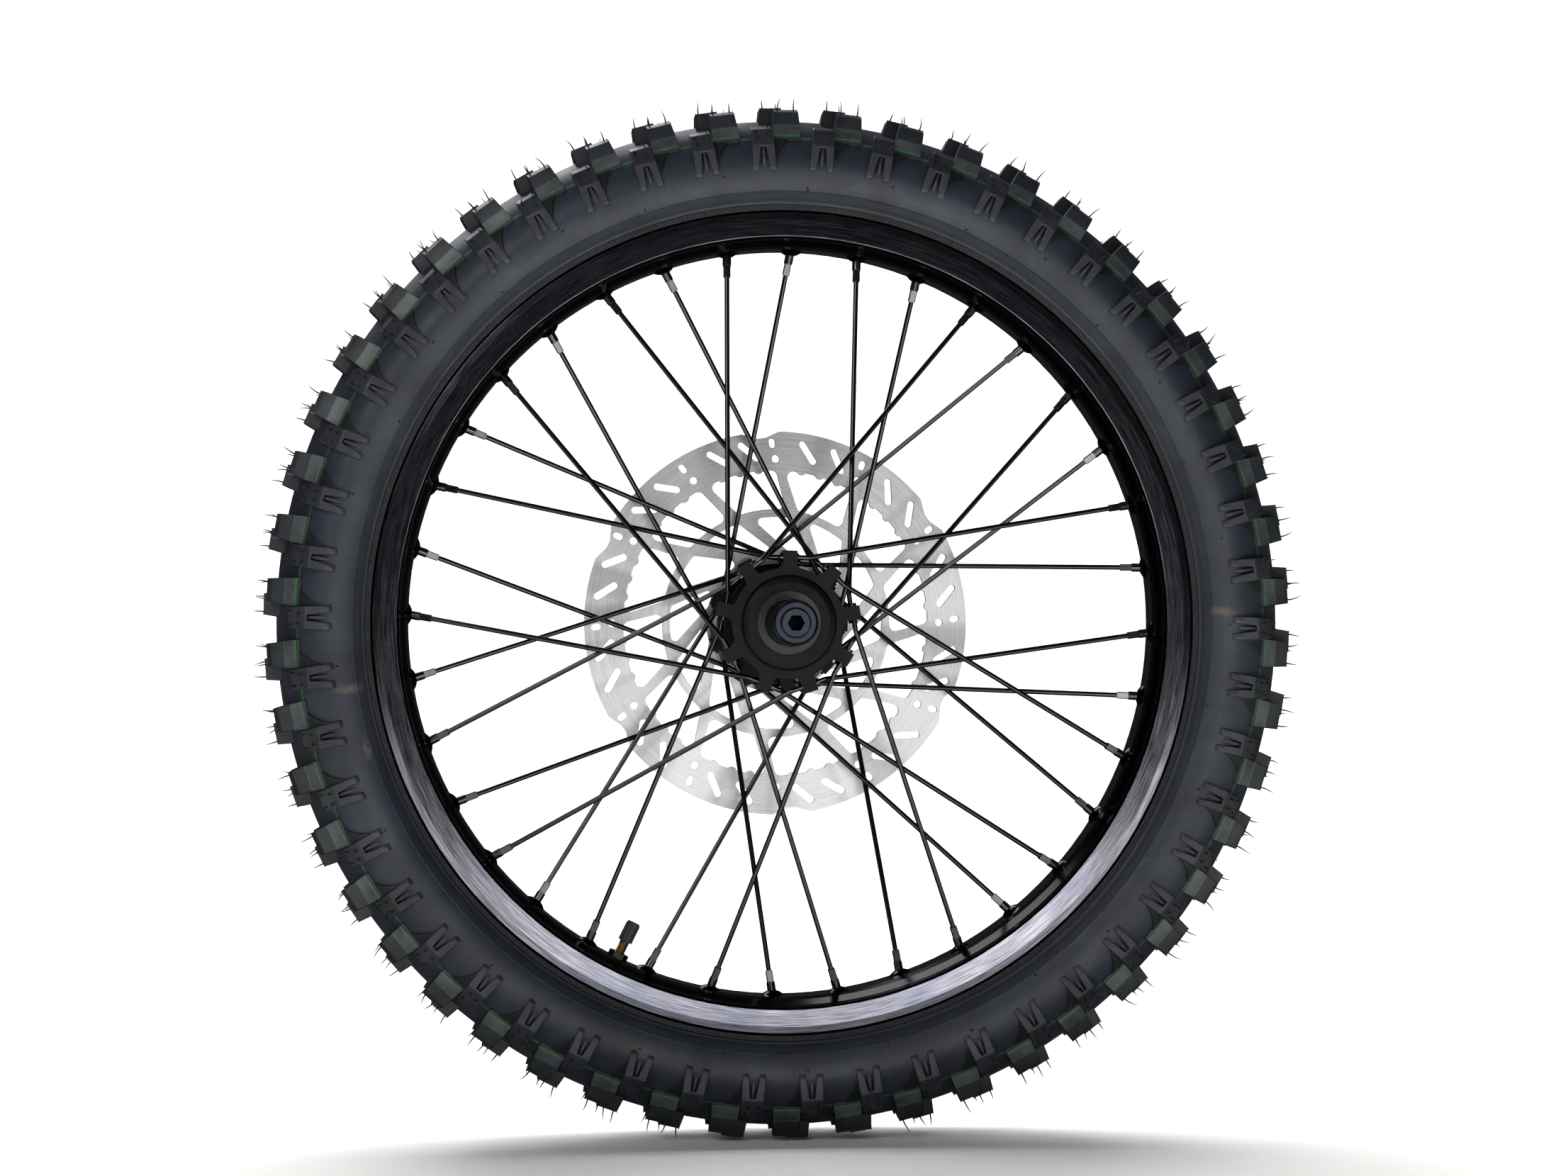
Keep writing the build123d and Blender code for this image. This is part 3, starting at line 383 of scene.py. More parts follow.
# painted lines round the tread: middle radius, half width and the least of the paint that is left
CARCASS_LINE = [(267.9, 0.6, 0.45)]
SHOULDER_LINES = [(269.1, 0.6, 0.5), (275.3, 0.3, 0.0)]


def dusted(tree, colour, place):
    """Lays faint specks of dust over a colour, in some areas only."""
    specks = node(tree, "TexVoronoi", {"Vector": place, "Scale": 1 / (SPECK_SIZE * MM)})
    areas = node(tree, "TexNoise", {"Vector": place, "Scale": 1 / (DUSTY_SIZE * MM), "Detail": 2.0})
    speck = node(tree, "MapRange", {"Value": specks.outputs["Distance"],
                                    "From Min": 0.12, "From Max": 0.05})
    area = node(tree, "MapRange", {"Value": areas, "From Min": 0.58, "From Max": 0.72})
    dust = node(tree, "Math", {0: speck, 1: area}, operation="MULTIPLY")
    return layer(tree, colour, dust.outputs[0], 0.0, 1.0, DUST, 0.35)


def lined(tree, colour, place, radius, lines):
    """Paints worn lines round the wheel over a colour."""
    for line_r, line_half, least in lines:
        line = band(tree, radius, (line_r - line_half) * MM, (line_r + line_half) * MM,
                    LINE_EDGE * MM)
        worn = node(tree, "TexNoise", {"Vector": place, "Scale": 1 / (WORN_SIZE * MM),
                                       "Detail": 3.0})
        kept = node(tree, "MapRange", {"Value": worn, "From Min": 0.35,
                                       "From Max": 0.6, "To Min": least})
        paint = node(tree, "Math", {0: line, 1: kept}, operation="MULTIPLY")
        colour = layer(tree, colour, paint.outputs[0], 0.0, 1.0, FACTORY_GREEN)
    return colour


def rubber_skin(tree, place, grain):
    """Normal of moulded rubber: a fine grain, in mm, over shallow dents."""
    pores = node(tree, "TexNoise", {"Vector": place, "Scale": 1 / (grain * MM), "Detail": 4.0})
    dents = node(tree, "TexNoise", {"Vector": place, "Scale": 1 / (DENT_SIZE * MM), "Detail": 2.0})
    fine = node(tree, "Bump", {"Height": pores, "Strength": 0.22, "Distance": 0.15 * MM})
    return node(tree, "Bump", {"Height": dents, "Strength": 0.18, "Distance": 0.5 * MM,
                               "Normal": fine}).outputs[0]


def moulded_rubber(name, tone, cloud_tone, roughness, grain, sidewall=False, lines=()):
    """Rubber of a base tone with cloudy wax, fine grain, dust specks and painted lines."""
    finish, tree, shader = new_finish(name, IOR=1.52, Specular_IOR_Level=0.42)
    place, radius, way, across = wheel_place(tree)
    clouds = node(tree, "TexNoise", {"Vector": place, "Scale": 1 / (CLOUD_SIZE * MM),
                                     "Detail": 5.0, "Roughness": 0.62}).outputs[0]
    colour = layer(tree, tone, clouds, 0.35, 0.68, cloud_tone)
    colour = dusted(tree, colour, place)
    if sidewall:
        # painted shade: the sidewall is painted darker towards the rim lip, where shade falls in the
        # crease
        colour = layer(tree, colour, radius, SHADE_OUTER * MM, SHADE_INNER * MM, PAINTED_BEAD_SHADE, 0.8)
        colour = stained(tree, colour, place, across)
    colour = lined(tree, colour, place, radius, lines)
    gloss = uneven_gloss(tree, clouds, roughness + 0.06, roughness - 0.06)
    finish_with(tree, shader, colour, gloss, rubber_skin(tree, place, grain))
    return finish


sidewall_rubber = moulded_rubber("moulded_sidewall_rubber", "#20242d", "#2d323d", 0.50, 0.45,
                                 sidewall=True, lines=CARCASS_LINE)
# the webs get a darker rubber as painted shade, for the shade that falls on them between the shoulder
# and side knobs
webs_painted_shade_rubber = moulded_rubber("web_painted_shade_rubber", "#15161a", "#1d1e23", 0.55, 0.45,
                            lines=CARCASS_LINE)
knob_rubber = moulded_rubber("moulded_tread_rubber", "#1b1d22", "#303238", 0.46, 0.6)
# the lower strip of each shoulder knob is pale partly from real scuffs and partly as painted sheen,
# for the bright floor that these faces reflect
scuffed_and_sheen_rubber = moulded_rubber("scuffed_and_painted_sheen_tread_rubber", "#26282d", "#55585e", 0.36, 0.7,
                                lines=SHOULDER_LINES)
hair_rubber = moulded_rubber("vent_rubber", "#101012", "#18181a", 0.5, 0.6)
print("rubbers:", sidewall_rubber.name, knob_rubber.name, scuffed_and_sheen_rubber.name, hair_rubber.name)

# %% [markdown]
# ## The tyre's carcass
# The carcass is one closed ring of rubber. Its outline is a smooth curve through a few chosen
# points, from the bead that the rim holds, round the sidewall to the crown, and back along the
# lining. Turning the outline in six steps for each of the fifty knob rows gives a smooth ring on
# which everything else lines up.

# %% Carcass outline
ROWS = 50
STEPS = 6
ROUND = ROWS * STEPS
CROWN_R = tyre_high[2] / MM - 6.5     # the centre knobs stand 6.5 mm above the crown
LIP_R = CROWN_R - 53.0


def smooth_points(points, pieces):
    """Catmull-Rom curve through the points, with each span cut into equal pieces."""
    curve = []
    last = len(points) - 1
    for i in range(last):
        before, start = points[max(i - 1, 0)], points[i]
        end, after = points[i + 1], points[min(i + 2, last)]
        for step in range(pieces):
            t = step / pieces
            curve.append(tuple(
                0.5 * (2 * b + (c - a) * t + (2 * a - 5 * b + 4 * c - d) * t * t
                       + (3 * b - a - 3 * c + d) * t ** 3)
                for a, b, c, d in zip(before, start, end, after)))
    curve.append(points[last])
    return curve


# bead and rim side of the outline, as radius and half width in mm
BEAD_SIDE = [
    (LIP_R - 11.4, 13.0), (LIP_R - 11.4, 18.0), (LIP_R - 9.0, 20.1), (LIP_R - 0.8, 20.15),
    (LIP_R + 0.3, 21.2), (LIP_R + 0.3, 25.2), (LIP_R + 0.5, 25.7), (LIP_R + 3.0, 26.1),
    (LIP_R + 3.3, 26.8), (LIP_R + 3.9, 27.2), (LIP_R + 4.3, 27.2),
]
SIDEWALL = [
    (LIP_R + 5.0, 27.7), (LIP_R + 8.5, 31.4), (LIP_R + 12.0, 33.5), (LIP_R + 16.0, 34.8),
    (LIP_R + 20.0, 35.4), (LIP_R + 24.0, 35.5), (LIP_R + 28.5, 34.4), (LIP_R + 32.5, 32.3),
    (LIP_R + 36.8, 29.1), (LIP_R + 40.5, 25.5), (LIP_R + 44.2, 21.2), (LIP_R + 47.5, 16.0),
    (LIP_R + 50.2, 10.6), (LIP_R + 52.4, 5.0), (LIP_R + 53.0, 0.0),
]
LINING = [
    (CROWN_R - 6.0, 0.0), (CROWN_R - 6.7, 7.5), (CROWN_R - 11.2, 18.0), (CROWN_R - 19.2, 26.4),
    (CROWN_R - 27.7, 30.2), (LIP_R + 17.0, 29.6), (LIP_R + 7.0, 24.0), (LIP_R - 4.0, 13.2),
]
# a fine moulded line runs round the sidewall near the bead: radius above the lip and height
MOULD_LINE = (LIP_R + 9.6, 0.35)


def half_outline():
    """Outline of half the carcass, from bead toe over the outside to the middle of the crown."""
    wall = smooth_points(SIDEWALL, 3)
    line_r, line_height = MOULD_LINE
    shaped = []
    for radius, half in wall:
        shaped.append((radius, half))
        following = wall[min(len(shaped), len(wall) - 1)]
        if radius < line_r < following[0]:
            share = (line_r - radius) / (following[0] - radius)
            on_wall = half + (following[1] - half) * share
            shaped += [(line_r - 0.5, on_wall - 0.25), (line_r, on_wall + line_height),
                       (line_r + 0.5, on_wall + 0.25)]
    return BEAD_SIDE + shaped


outer_half = half_outline()
inner_half = smooth_points(LINING, 2)
carcass_outline = (outer_half + [(r, -y) for r, y in reversed(outer_half[:-1])]
                   + [(r, -y) for r, y in reversed(inner_half)] + inner_half[1:])
print("carcass outline points:", len(carcass_outline))

# %% [markdown]
# ## Turning the outline
# The outline is carried round the axle in steps, and a skin of four-sided faces joins each step to
# the next. A few helpers come with it: one turns a radius and an angle into a point, one lets a
# piece turn with the wheel, and one keeps real edges sharp while everything else shades as smooth.

# %% Turn the outline into a ring
def wheel_point(radius, turn, y):
    """Point in metres from a radius and place across in mm and a turn in radians."""
    return (radius * MM * math.cos(turn), y * MM, radius * MM * math.sin(turn))


def skin(loops, closed=True):
    """Vertices and faces of a skin over loops of points, each joined to the next."""
    count = len(loops[0])
    faces = []
    for number in range(len(loops) if closed else len(loops) - 1):
        here, there = number * count, (number + 1) % len(loops) * count
        for i in range(count):
            j = (i + 1) % count
            faces.append((here + i, here + j, there + j, there + i))
    return [point for loop in loops for point in loop], faces


def settle(piece, slot_name, *stands_for):
    """Lets a tyre piece turn with the wheel, and hides the CAD parts it stands for. The slot name is
    not used.
    """
    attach(piece, "wheel")
    if stands_for:
        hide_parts(*stands_for)


def keep_edges(piece, degrees):
    """Marks edges sharper than an angle, so that only the gentle ones shade as smooth."""
    piece.data.set_sharp_from_angle(angle=math.radians(degrees))


carcass_loops = [[wheel_point(radius, 2 * math.pi * step / ROUND, y) for radius, y in carcass_outline]
                 for step in range(ROUND)]
carcass = mesh_object("tyre_carcass", *skin(carcass_loops))
carcass.data.materials.append(sidewall_rubber)
keep_edges(carcass, 38)
settle(carcass, "tyre_rubber", "tyre")
print("carcass faces:", len(carcass.data.polygons))

# %% [markdown]
# ## Ribbed bead band
# Just outside the rim the mould leaves a narrow band of fine ribs, a little over a millimetre
# apart. They are real ribs here, one small wedge each, so they still catch the light from the side.

# %% Bead ribs
RIB_COUNT = 1200
RIB_LOW, RIB_HIGH = LIP_R + 0.7, LIP_R + 2.8
RIB_RISE = 0.32
RIB_SINK = -0.15            # a rib's foot lies this far inside the band
RIB_HALF = 0.75             # half width of a rib's foot as a share of half the spacing


def bead_ribs():
    """Wedges across the bead band on both sides of the tyre."""
    vertices, faces = [], []
    half_turn = math.pi / RIB_COUNT
    for side in (-1, 1):
        for rib in range(RIB_COUNT):
            middle = 2 * math.pi * rib / RIB_COUNT
            first = len(vertices)
            for radius, y in ((RIB_LOW, 25.72), (RIB_HIGH, 26.08)):
                for turn, rise in ((-RIB_HALF, RIB_SINK), (0.0, RIB_RISE), (RIB_HALF, RIB_SINK)):
                    vertices.append(wheel_point(radius, middle + turn * half_turn,
                                                side * (y + rise)))
            a, b, c, d, e, f = range(first, first + 6)
            block = [(a, b, e, d), (b, c, f, e), (c, a, d, f), (a, c, b), (d, e, f)]
            faces += [face if side < 0 else face[::-1] for face in block]
    return vertices, faces


ribs = mesh_object("tyre_bead_ribs", *bead_ribs(), smooth=False)
ribs.data.materials.append(sidewall_rubber)
settle(ribs, "tyre_rubber")
print("bead ribs:", RIB_COUNT * 2)

# %% [markdown]
# ## Knobs
# Each of the fifty rows holds five knobs: one in the middle, one on each shoulder, and one on each
# side whose foot is split in two. A knob is a short stack of levels. Each level has a place across
# the tyre and a half width round it, and neighbouring levels are joined by faces.

# %% Knob sizes
FIRST_ROW = math.radians(3.6)
CENTRE_AHEAD = math.radians(1.5)
SIDE_AHEAD = math.radians(2.95)


def taper(foot_r, foot_half, top_r, top_half):
    """Half width round the tyre, as a function of the radius, that narrows evenly to the top."""
    return lambda radius: foot_half - (radius - foot_r) * (foot_half - top_half) / (top_r - foot_r)


centre_half = taper(CROWN_R - 4.0, 7.3, CROWN_R + 6.5, 5.9)
shoulder_half = taper(CROWN_R - 17.0, 8.2, CROWN_R + 5.5, 6.6)
# levels as radius and place across, in mm: up one side and down the other
CENTRE_LEVELS = [(CROWN_R - 5.0, 10.0), (CROWN_R + 0.5, 9.6), (CROWN_R + 6.5, 8.6),
                 (CROWN_R + 6.5, -8.6), (CROWN_R + 0.5, -9.6), (CROWN_R - 5.0, -10.0)]
SHOULDER_LEVELS = [(CROWN_R - 14.8, 25.6), (CROWN_R - 14.8, 28.2), (CROWN_R - 12.4, 27.9),
                   (CROWN_R - 5.6, 26.3), (CROWN_R + 1.9, 22.6), (CROWN_R + 4.9, 12.6),
                   (CROWN_R - 3.7, 10.6), (CROWN_R - 4.7, 11.0)]
# this strip is painted pale, partly as scuffing and partly as painted sheen of the floor reflected in
# it
LOWER_FACE = 2          # strip of the shoulder knob that is scuffed pale, between levels 2 and 3
SIDE_OUTSIDE = [(248.6, 35.9), (250.4, 37.0), (255.0, 37.15), (262.0, 36.95), (263.4, 36.9),
                (272.6, 30.2), (275.2, 22.6)]
SIDE_INSIDE = [(248.6, 32.0), (250.4, 31.9), (255.0, 31.6), (262.0, 28.0), (263.4, 27.0),
               (266.5, 24.6), (270.5, 19.8)]
SIDE_HALF = [6.7, 6.65, 6.5, 6.25, 6.15, 5.65, 5.5]
SIDE_LEGS = 3           # up to this level the knob is two legs with a slot between them
SLOT_HALF = [3.0, 2.8, 2.28, 1.5]
print("a centre knob is", round(2 * centre_half(CROWN_R + 6.5), 1), "mm wide at its top")

# %% [markdown]
# ## Building one knob
# A plain knob only needs its levels joined up and its two ends closed. A split knob is laid out as a
# grid of four columns instead, and where the legs are, the middle column is left open and walled.

# %% Knob builders
def stacked_knob(levels, half_width, turn, side, pale_sheen_strip=None):
    """Vertices, faces and material numbers of a plain knob."""
    count = len(levels)
    vertices = []
    for radius, y in levels:
        for hand in (-1, 1):
            swing = math.atan2(hand * half_width(radius), radius)
            reach = math.hypot(half_width(radius), radius)
            vertices.append(wheel_point(reach, turn + swing, side * y))
    faces, paints = [], []
    for i in range(count):
        j = (i + 1) % count
        faces.append((2 * i, 2 * i + 1, 2 * j + 1, 2 * j))
        paints.append(1 if i == pale_sheen_strip else 0)
    faces.append(tuple(range(count * 2 - 2, -1, -2)))
    faces.append(tuple(range(1, count * 2, 2)))
    paints += [0, 0]
    if side < 0:
        faces = [face[::-1] for face in faces]
    return vertices, faces, paints


def split_knob(turn, side):
    """Vertices, faces and material numbers of a side knob with its split foot."""
    vertices, faces = [], []

    def corner(level, x, outside):
        radius, y = (SIDE_OUTSIDE if outside else SIDE_INSIDE)[level]
        vertices.append(wheel_point(math.hypot(radius, x), turn + math.atan2(x, radius), side * y))
        return len(vertices) - 1

    grid = []
    for level, half in enumerate(SIDE_HALF):
        slot = SLOT_HALF[min(level, SIDE_LEGS)]
        grid.append([(corner(level, x, True), corner(level, x, False))
                     for x in (-half, -slot, slot, half)])
    for low in range(len(grid) - 1):
        a, b = grid[low], grid[low + 1]
        columns = (0, 2) if low < SIDE_LEGS else (0, 1, 2)
        for c in columns:
            faces.append((a[c][0], a[c + 1][0], b[c + 1][0], b[c][0]))
            faces.append((a[c][1], b[c][1], b[c + 1][1], a[c + 1][1]))
        faces.append((a[0][0], b[0][0], b[0][1], a[0][1]))
        faces.append((a[3][0], a[3][1], b[3][1], b[3][0]))
        if low < SIDE_LEGS:
            faces.append((a[1][0], a[1][1], b[1][1], b[1][0]))
            faces.append((a[2][0], b[2][0], b[2][1], a[2][1]))
    top, foot, fork = grid[-1], grid[0], grid[SIDE_LEGS]
    for c in (0, 1, 2):
        faces.append((top[c][0], top[c + 1][0], top[c + 1][1], top[c][1]))
    for c in (0, 2):
        faces.append((foot[c][0], foot[c][1], foot[c + 1][1], foot[c + 1][0]))
    faces.append((fork[1][0], fork[1][1], fork[2][1], fork[2][0]))
    if side < 0:
        faces = [face[::-1] for face in faces]
    return vertices, faces, [0] * len(faces)


print("knob builders ready")

# %% [markdown]
# ## All knobs in their rows
# Knobs of a kind share one object, which is far quicker to draw than 250 small ones. A bevel on it
# rounds every sharp edge by half a millimetre, as the rubber comes out of its mould. It stays live,
# so its radius can still be changed.

# %% Place the knobs
KNOB_EDGE = 0.45        # radius of the rounded edges, mm


def gather(name, lumps, materials):
    """One object from many small closed lumps of (vertices, faces, material numbers)."""
    vertices, faces, paints = [], [], []
    for lump_vertices, lump_faces, lump_paints in lumps:
        first = len(vertices)
        vertices += lump_vertices
        faces += [tuple(first + i for i in face) for face in lump_faces]
        paints += lump_paints
    piece = mesh_object(name, vertices, faces)
    for material in materials:
        piece.data.materials.append(material)
    piece.data.polygons.foreach_set("material_index", paints)
    return piece


def soften(piece, width):
    """Rounds the sharp edges of a piece with a live bevel of a width in mm."""
    bevel = piece.modifiers.new("rounded_edges", "BEVEL")
    bevel.width = width * MM
    bevel.segments = 2
    bevel.limit_method = "ANGLE"
    bevel.angle_limit = math.radians(28)
    bevel.harden_normals = False
    keep_edges(piece, 32)


row_turns = [FIRST_ROW + 2 * math.pi * row / ROWS for row in range(ROWS)]
centre_lumps = [stacked_knob(CENTRE_LEVELS, centre_half, turn + CENTRE_AHEAD, 1)
                for turn in row_turns]
shoulder_lumps = [stacked_knob(SHOULDER_LEVELS, shoulder_half, turn, side, LOWER_FACE)
                  for turn in row_turns for side in (-1, 1)]
side_lumps = [split_knob(turn + SIDE_AHEAD, side) for turn in row_turns for side in (-1, 1)]
tread_materials = [knob_rubber, scuffed_and_sheen_rubber]
centre_knobs = gather("tyre_centre_knobs", centre_lumps, tread_materials)
shoulder_knobs = gather("tyre_shoulder_knobs", shoulder_lumps, tread_materials)
side_knobs = gather("tyre_side_knobs", side_lumps, tread_materials)
for knobs in (centre_knobs, shoulder_knobs, side_knobs):
    soften(knobs, KNOB_EDGE)
    settle(knobs, "tyre_rubber", "tyre")
print("knobs:", len(centre_lumps) + len(shoulder_lumps) + len(side_lumps))

# %% [markdown]
# ## Webs and ridges
# A thin web with a hollow curved edge links each shoulder knob to the foot of its side knob, and a
# low ridge stands in the split of each side knob. Both stand about a millimetre off the carcass.

# %% Webs and ridges
WEB_LEVELS = [(255.6, 6.0, 36.15), (258.0, 5.3, 35.2), (260.6, 4.2, 33.8), (262.6, 2.9, 32.45),
              (264.6, 1.4, 30.9), (266.3, -0.4, 29.3), (267.6, -2.2, 28.1), (269.0, -4.8, 26.8),
              (270.4, -6.6, 25.3)]
WEB_RIGHT = 9.8
WEB_ROOT, RIDGE_ROOT = 2.4, 3.0
WEB_EDGE = 0.3
RIDGE_LEVELS = [(250.3, 0.2, 34.9), (253.5, 0.75, 36.3), (258.0, 0.85, 36.5), (261.5, 0.85, 35.6),
                (263.0, 0.85, 34.6)]


def slab(levels, left, right, root, turn, side):
    """Thin slab on the carcass: at each level it runs from left to right and stands on its root."""
    vertices, faces = [], []
    for radius, half, y in levels:
        for x in (left(half), right(half)):
            for depth in (0.0, root):
                vertices.append(wheel_point(math.hypot(radius, x), turn + math.atan2(x, radius),
                                            side * (y - depth)))
    count = len(levels)
    for i in range(count - 1):
        a, b = 4 * i, 4 * i + 4
        faces += [(a, a + 2, b + 2, b), (a + 1, b + 1, b + 3, a + 3),
                  (a, b, b + 1, a + 1), (a + 2, a + 3, b + 3, b + 2)]
    last = 4 * (count - 1)
    faces += [(0, 1, 3, 2), (last, last + 2, last + 3, last + 1)]
    if side < 0:
        faces = [face[::-1] for face in faces]
    return vertices, faces, [0] * len(faces)


web_lumps = [slab(WEB_LEVELS, lambda x: x, lambda x: WEB_RIGHT, WEB_ROOT, turn, side)
             for turn in row_turns for side in (-1, 1)]
ridge_lumps = [slab(RIDGE_LEVELS, lambda x: -x, lambda x: x, RIDGE_ROOT, turn + SIDE_AHEAD, side)
               for turn in row_turns for side in (-1, 1)]
webs = gather("tyre_webs", web_lumps, [webs_painted_shade_rubber])
ridges = gather("tyre_ridges", ridge_lumps, [sidewall_rubber])
for piece in (webs, ridges):
    soften(piece, WEB_EDGE)
    settle(piece, "tyre_rubber")
print("webs:", len(web_lumps), "ridges:", len(ridge_lumps))

# %% [markdown]
# ## Vent hairs and stubs
# Air leaves a tyre mould through holes no wider than a needle, and rubber follows it. A new tyre
# keeps these hairs until they wear off. They are tapered tubes that lean and bend by chance, drawn
# from one seeded generator so that every run grows the same ones. Where the tyre stands on the
# floor they are pressed flat, so none is drawn there.

# %% Hair builder
chance = random.Random(17)
HAIR_SIDES = 5
# shares of the length and of the thickness, from below the root to the tip
HAIR_TAPER = [(-0.15, 1.25), (0.0, 1.1), (0.35, 0.9), (0.7, 0.7), (1.0, 0.35)]


def hair(root, out, length, thick, bend):
    """Tapered tube from a root point along a direction, bending as it goes."""
    out = Vector(out).normalized()
    drift = Vector([chance.uniform(-1, 1) for _ in range(3)])
    drift = (drift - out * drift.dot(out)).normalized() * bend
    across = out.orthogonal().normalized()
    beside = out.cross(across)
    loops = []
    for share, slim in HAIR_TAPER:
        middle = Vector(root) + (out * share + drift * share * share) * length * MM
        turns = [2 * math.pi * corner / HAIR_SIDES for corner in range(HAIR_SIDES)]
        loops.append([tuple(middle + (across * math.cos(turn) + beside * math.sin(turn))
                            * thick * slim * MM) for turn in turns])
    vertices, faces = skin(loops, closed=False)
    faces.append(tuple(range(HAIR_SIDES - 1, -1, -1)))
    faces.append(tuple(range(len(vertices) - HAIR_SIDES, len(vertices))))
    return vertices, faces, [0] * len(faces)


def leaning(turn, x, radius, y, lean):
    """Root point and direction of a hair on the tread, leaning by chance."""
    swing = turn + math.atan2(x, radius)
    root = wheel_point(math.hypot(radius, x), swing, y)
    tilt = swing + chance.uniform(-lean, lean)
    return root, Vector((math.cos(tilt), chance.uniform(-lean, lean), math.sin(tilt)))


def off_the_floor(turn):
    """False for the short stretch of tread that rests on the floor."""
    return math.sin(turn) > -0.992


print("hair builder ready")

# %% [markdown]
# ## Hairs on the tread
# Each centre and shoulder knob has two holes in its mould, so it carries two hairs. They are drawn a
# little thicker than a needle so that they show.

# %% Grow the hairs
HAIR_THICK = 0.46       # radius near the root, mm
# places round and across the tyre, and for the shoulder also the radius, all in mm
CENTRE_VENTS = [(-4.2, 5.6), (4.2, -5.6)]
SHOULDER_VENTS = [(-4.8, CROWN_R + 3.9, 15.5), (4.6, CROWN_R + 3.4, 17.5)]
hairs = []
for turn in row_turns:
    for x, y in CENTRE_VENTS:
        root, out = leaning(turn + CENTRE_AHEAD, x, CROWN_R + 6.4, y, 0.12)
        if off_the_floor(turn):
            hairs.append(hair(root, out, chance.uniform(5.2, 7.2), HAIR_THICK, 0.2))
    for side in (-1, 1):
        for x, radius, y in SHOULDER_VENTS:
            root, out = leaning(turn, x, radius, side * y, 0.14)
            if off_the_floor(turn):
                hairs.append(hair(root, out + Vector((0, side * 0.25, 0)),
                                  chance.uniform(5.6, 8.4), HAIR_THICK, 0.28))
tread_hairs = gather("tyre_tread_hairs", hairs, [hair_rubber])
settle(tread_hairs, "tyre_rubber")
print("hairs:", len(hairs))

# %% [markdown]
# ## Stubs on the side knobs and the sidewall
# The side knobs' hairs are short and bent, four to a knob. The sidewall's vents are wider and were
# trimmed, which leaves low round stubs in two rings.

# %% Grow the stubs
STUB_THICK, VENT_THICK = 0.52, 0.7
SIDE_VENTS = [(-3.6, 270.9, 31.5), (3.5, 270.9, 31.5), (-2.4, 266.4, 34.8), (3.0, 266.8, 34.5)]
WALL_VENTS = [(247.0, 34.95), (239.0, 32.6)]    # radius and place across, taken in turn
WALL_VENT_COUNT = 33
FIRST_VENT, VENT_STEP = math.radians(11.0), math.radians(10.9)
stubs = []
for turn in row_turns:
    for side in (-1, 1):
        for x, radius, y in SIDE_VENTS:
            root, out = leaning(turn + SIDE_AHEAD, x, radius, side * y, 0.5)
            stubs.append(hair(root, out * 0.55 + Vector((0, side * 0.8, 0)),
                              chance.uniform(2.2, 5.0), STUB_THICK, 0.6))
for side in (-1, 1):
    for number in range(WALL_VENT_COUNT):
        turn = FIRST_VENT + number * VENT_STEP
        radius, y = WALL_VENTS[number % 2]
        root = wheel_point(radius, turn, side * y)
        out = Vector((0.35 * math.cos(turn), side, 0.35 * math.sin(turn)))
        stubs.append(hair(root, out, chance.uniform(0.9, 1.6), VENT_THICK, 0.5))
vent_stubs = gather("tyre_vent_stubs", stubs, [hair_rubber])
settle(vent_stubs, "tyre_rubber")
print("stubs:", len(stubs))

# %% [markdown]
# ## Anodised rim
# The rim is rolled aluminium, polished and then black anodised. Inside and over the domed nipple
# seats it is mirror black. Its flat side bands were brushed while the rim turned, so they carry fine
# lines round the wheel, and there the light spreads out across the lines into a silvery sheen.
# Aluminium is a metal: full metallic, default IOR, and the dye gives the dark colour.

# %% Rim finish
BAND_START = 24.75 * MM          # the flat side bands lie beyond this distance from the middle
BAND_FADE = 0.1 * MM
ROLL_START = (LIP_R - 4.5) * MM  # from here to the lip the band rolls gently back
ROLL_END = LIP_R * MM
ROLL_DROP = 0.8 * MM
BAND_R = 0.22
SHADE_SIZE = 71.4                # mm across: broad shades in the dye


def brushed_anodised_rim():
    """Mirror black metal with brushed side bands."""
    finish, tree, shader = new_finish("brushed_and_gloss_anodised_aluminium", Metallic=1.0)
    place, radius, way, across = wheel_place(tree)
    distance = node(tree, "Math", {0: across}, operation="ABSOLUTE")
    on_band = node(tree, "MapRange", {"Value": distance, "From Min": BAND_START - BAND_FADE,
                                      "From Max": BAND_START + BAND_FADE}).outputs[0]
    lines = round_streaks(tree, radius, way, 0.35 * MM, 16 * MM, BAND_R)
    broad = node(tree, "TexNoise", {"Vector": place, "Scale": 1 / (SHADE_SIZE * MM),
                                    "Detail": 2.0}).outputs[0]
    steel = layer(tree, "#53535b", lines, 0.38, 0.66, "#9b98a1")
    steel = layer(tree, steel, broad, 0.45, 0.7, "#646c80", 0.5)
    mirror = layer(tree, "#131316", broad, 0.3, 0.8, "#1a1b1e")
    colour = node(tree, "Mix", {0: on_band, 6: mirror, 7: steel}, data_type="RGBA")
    gloss = node(tree, "Mix", {0: on_band, 2: uneven_gloss(tree, broad, 0.10, 0.17),
                               3: uneven_gloss(tree, lines, 0.10, 0.17)}, data_type="FLOAT")
    roll = node(tree, "MapRange", {"Value": radius, "From Min": ROLL_START,
                                   "From Max": ROLL_END, "To Min": 1.0, "To Max": 0.0})
    bump = node(tree, "Bump", {"Height": lines, "Strength": 0.25, "Distance": 0.03 * MM})
    rolled = node(tree, "Bump", {"Height": roll, "Distance": ROLL_DROP, "Normal": bump})
    eased = node(tree, "Bevel", {"Radius": 0.35 * MM, "Normal": rolled}, samples=3)
    finish_with(tree, shader, colour.outputs[2], gloss.outputs[0], eased.outputs[0])
    brushed_shine(tree, shader, 0.3)
    return finish


def dress(names, finish):
    """Gives CAD parts a finish by putting it in every material slot they have."""
    for name in names:
        mesh = nodes[name].data
        if not mesh.materials:
            mesh.materials.append(finish)
        for number in range(len(mesh.materials)):
            mesh.materials[number] = finish


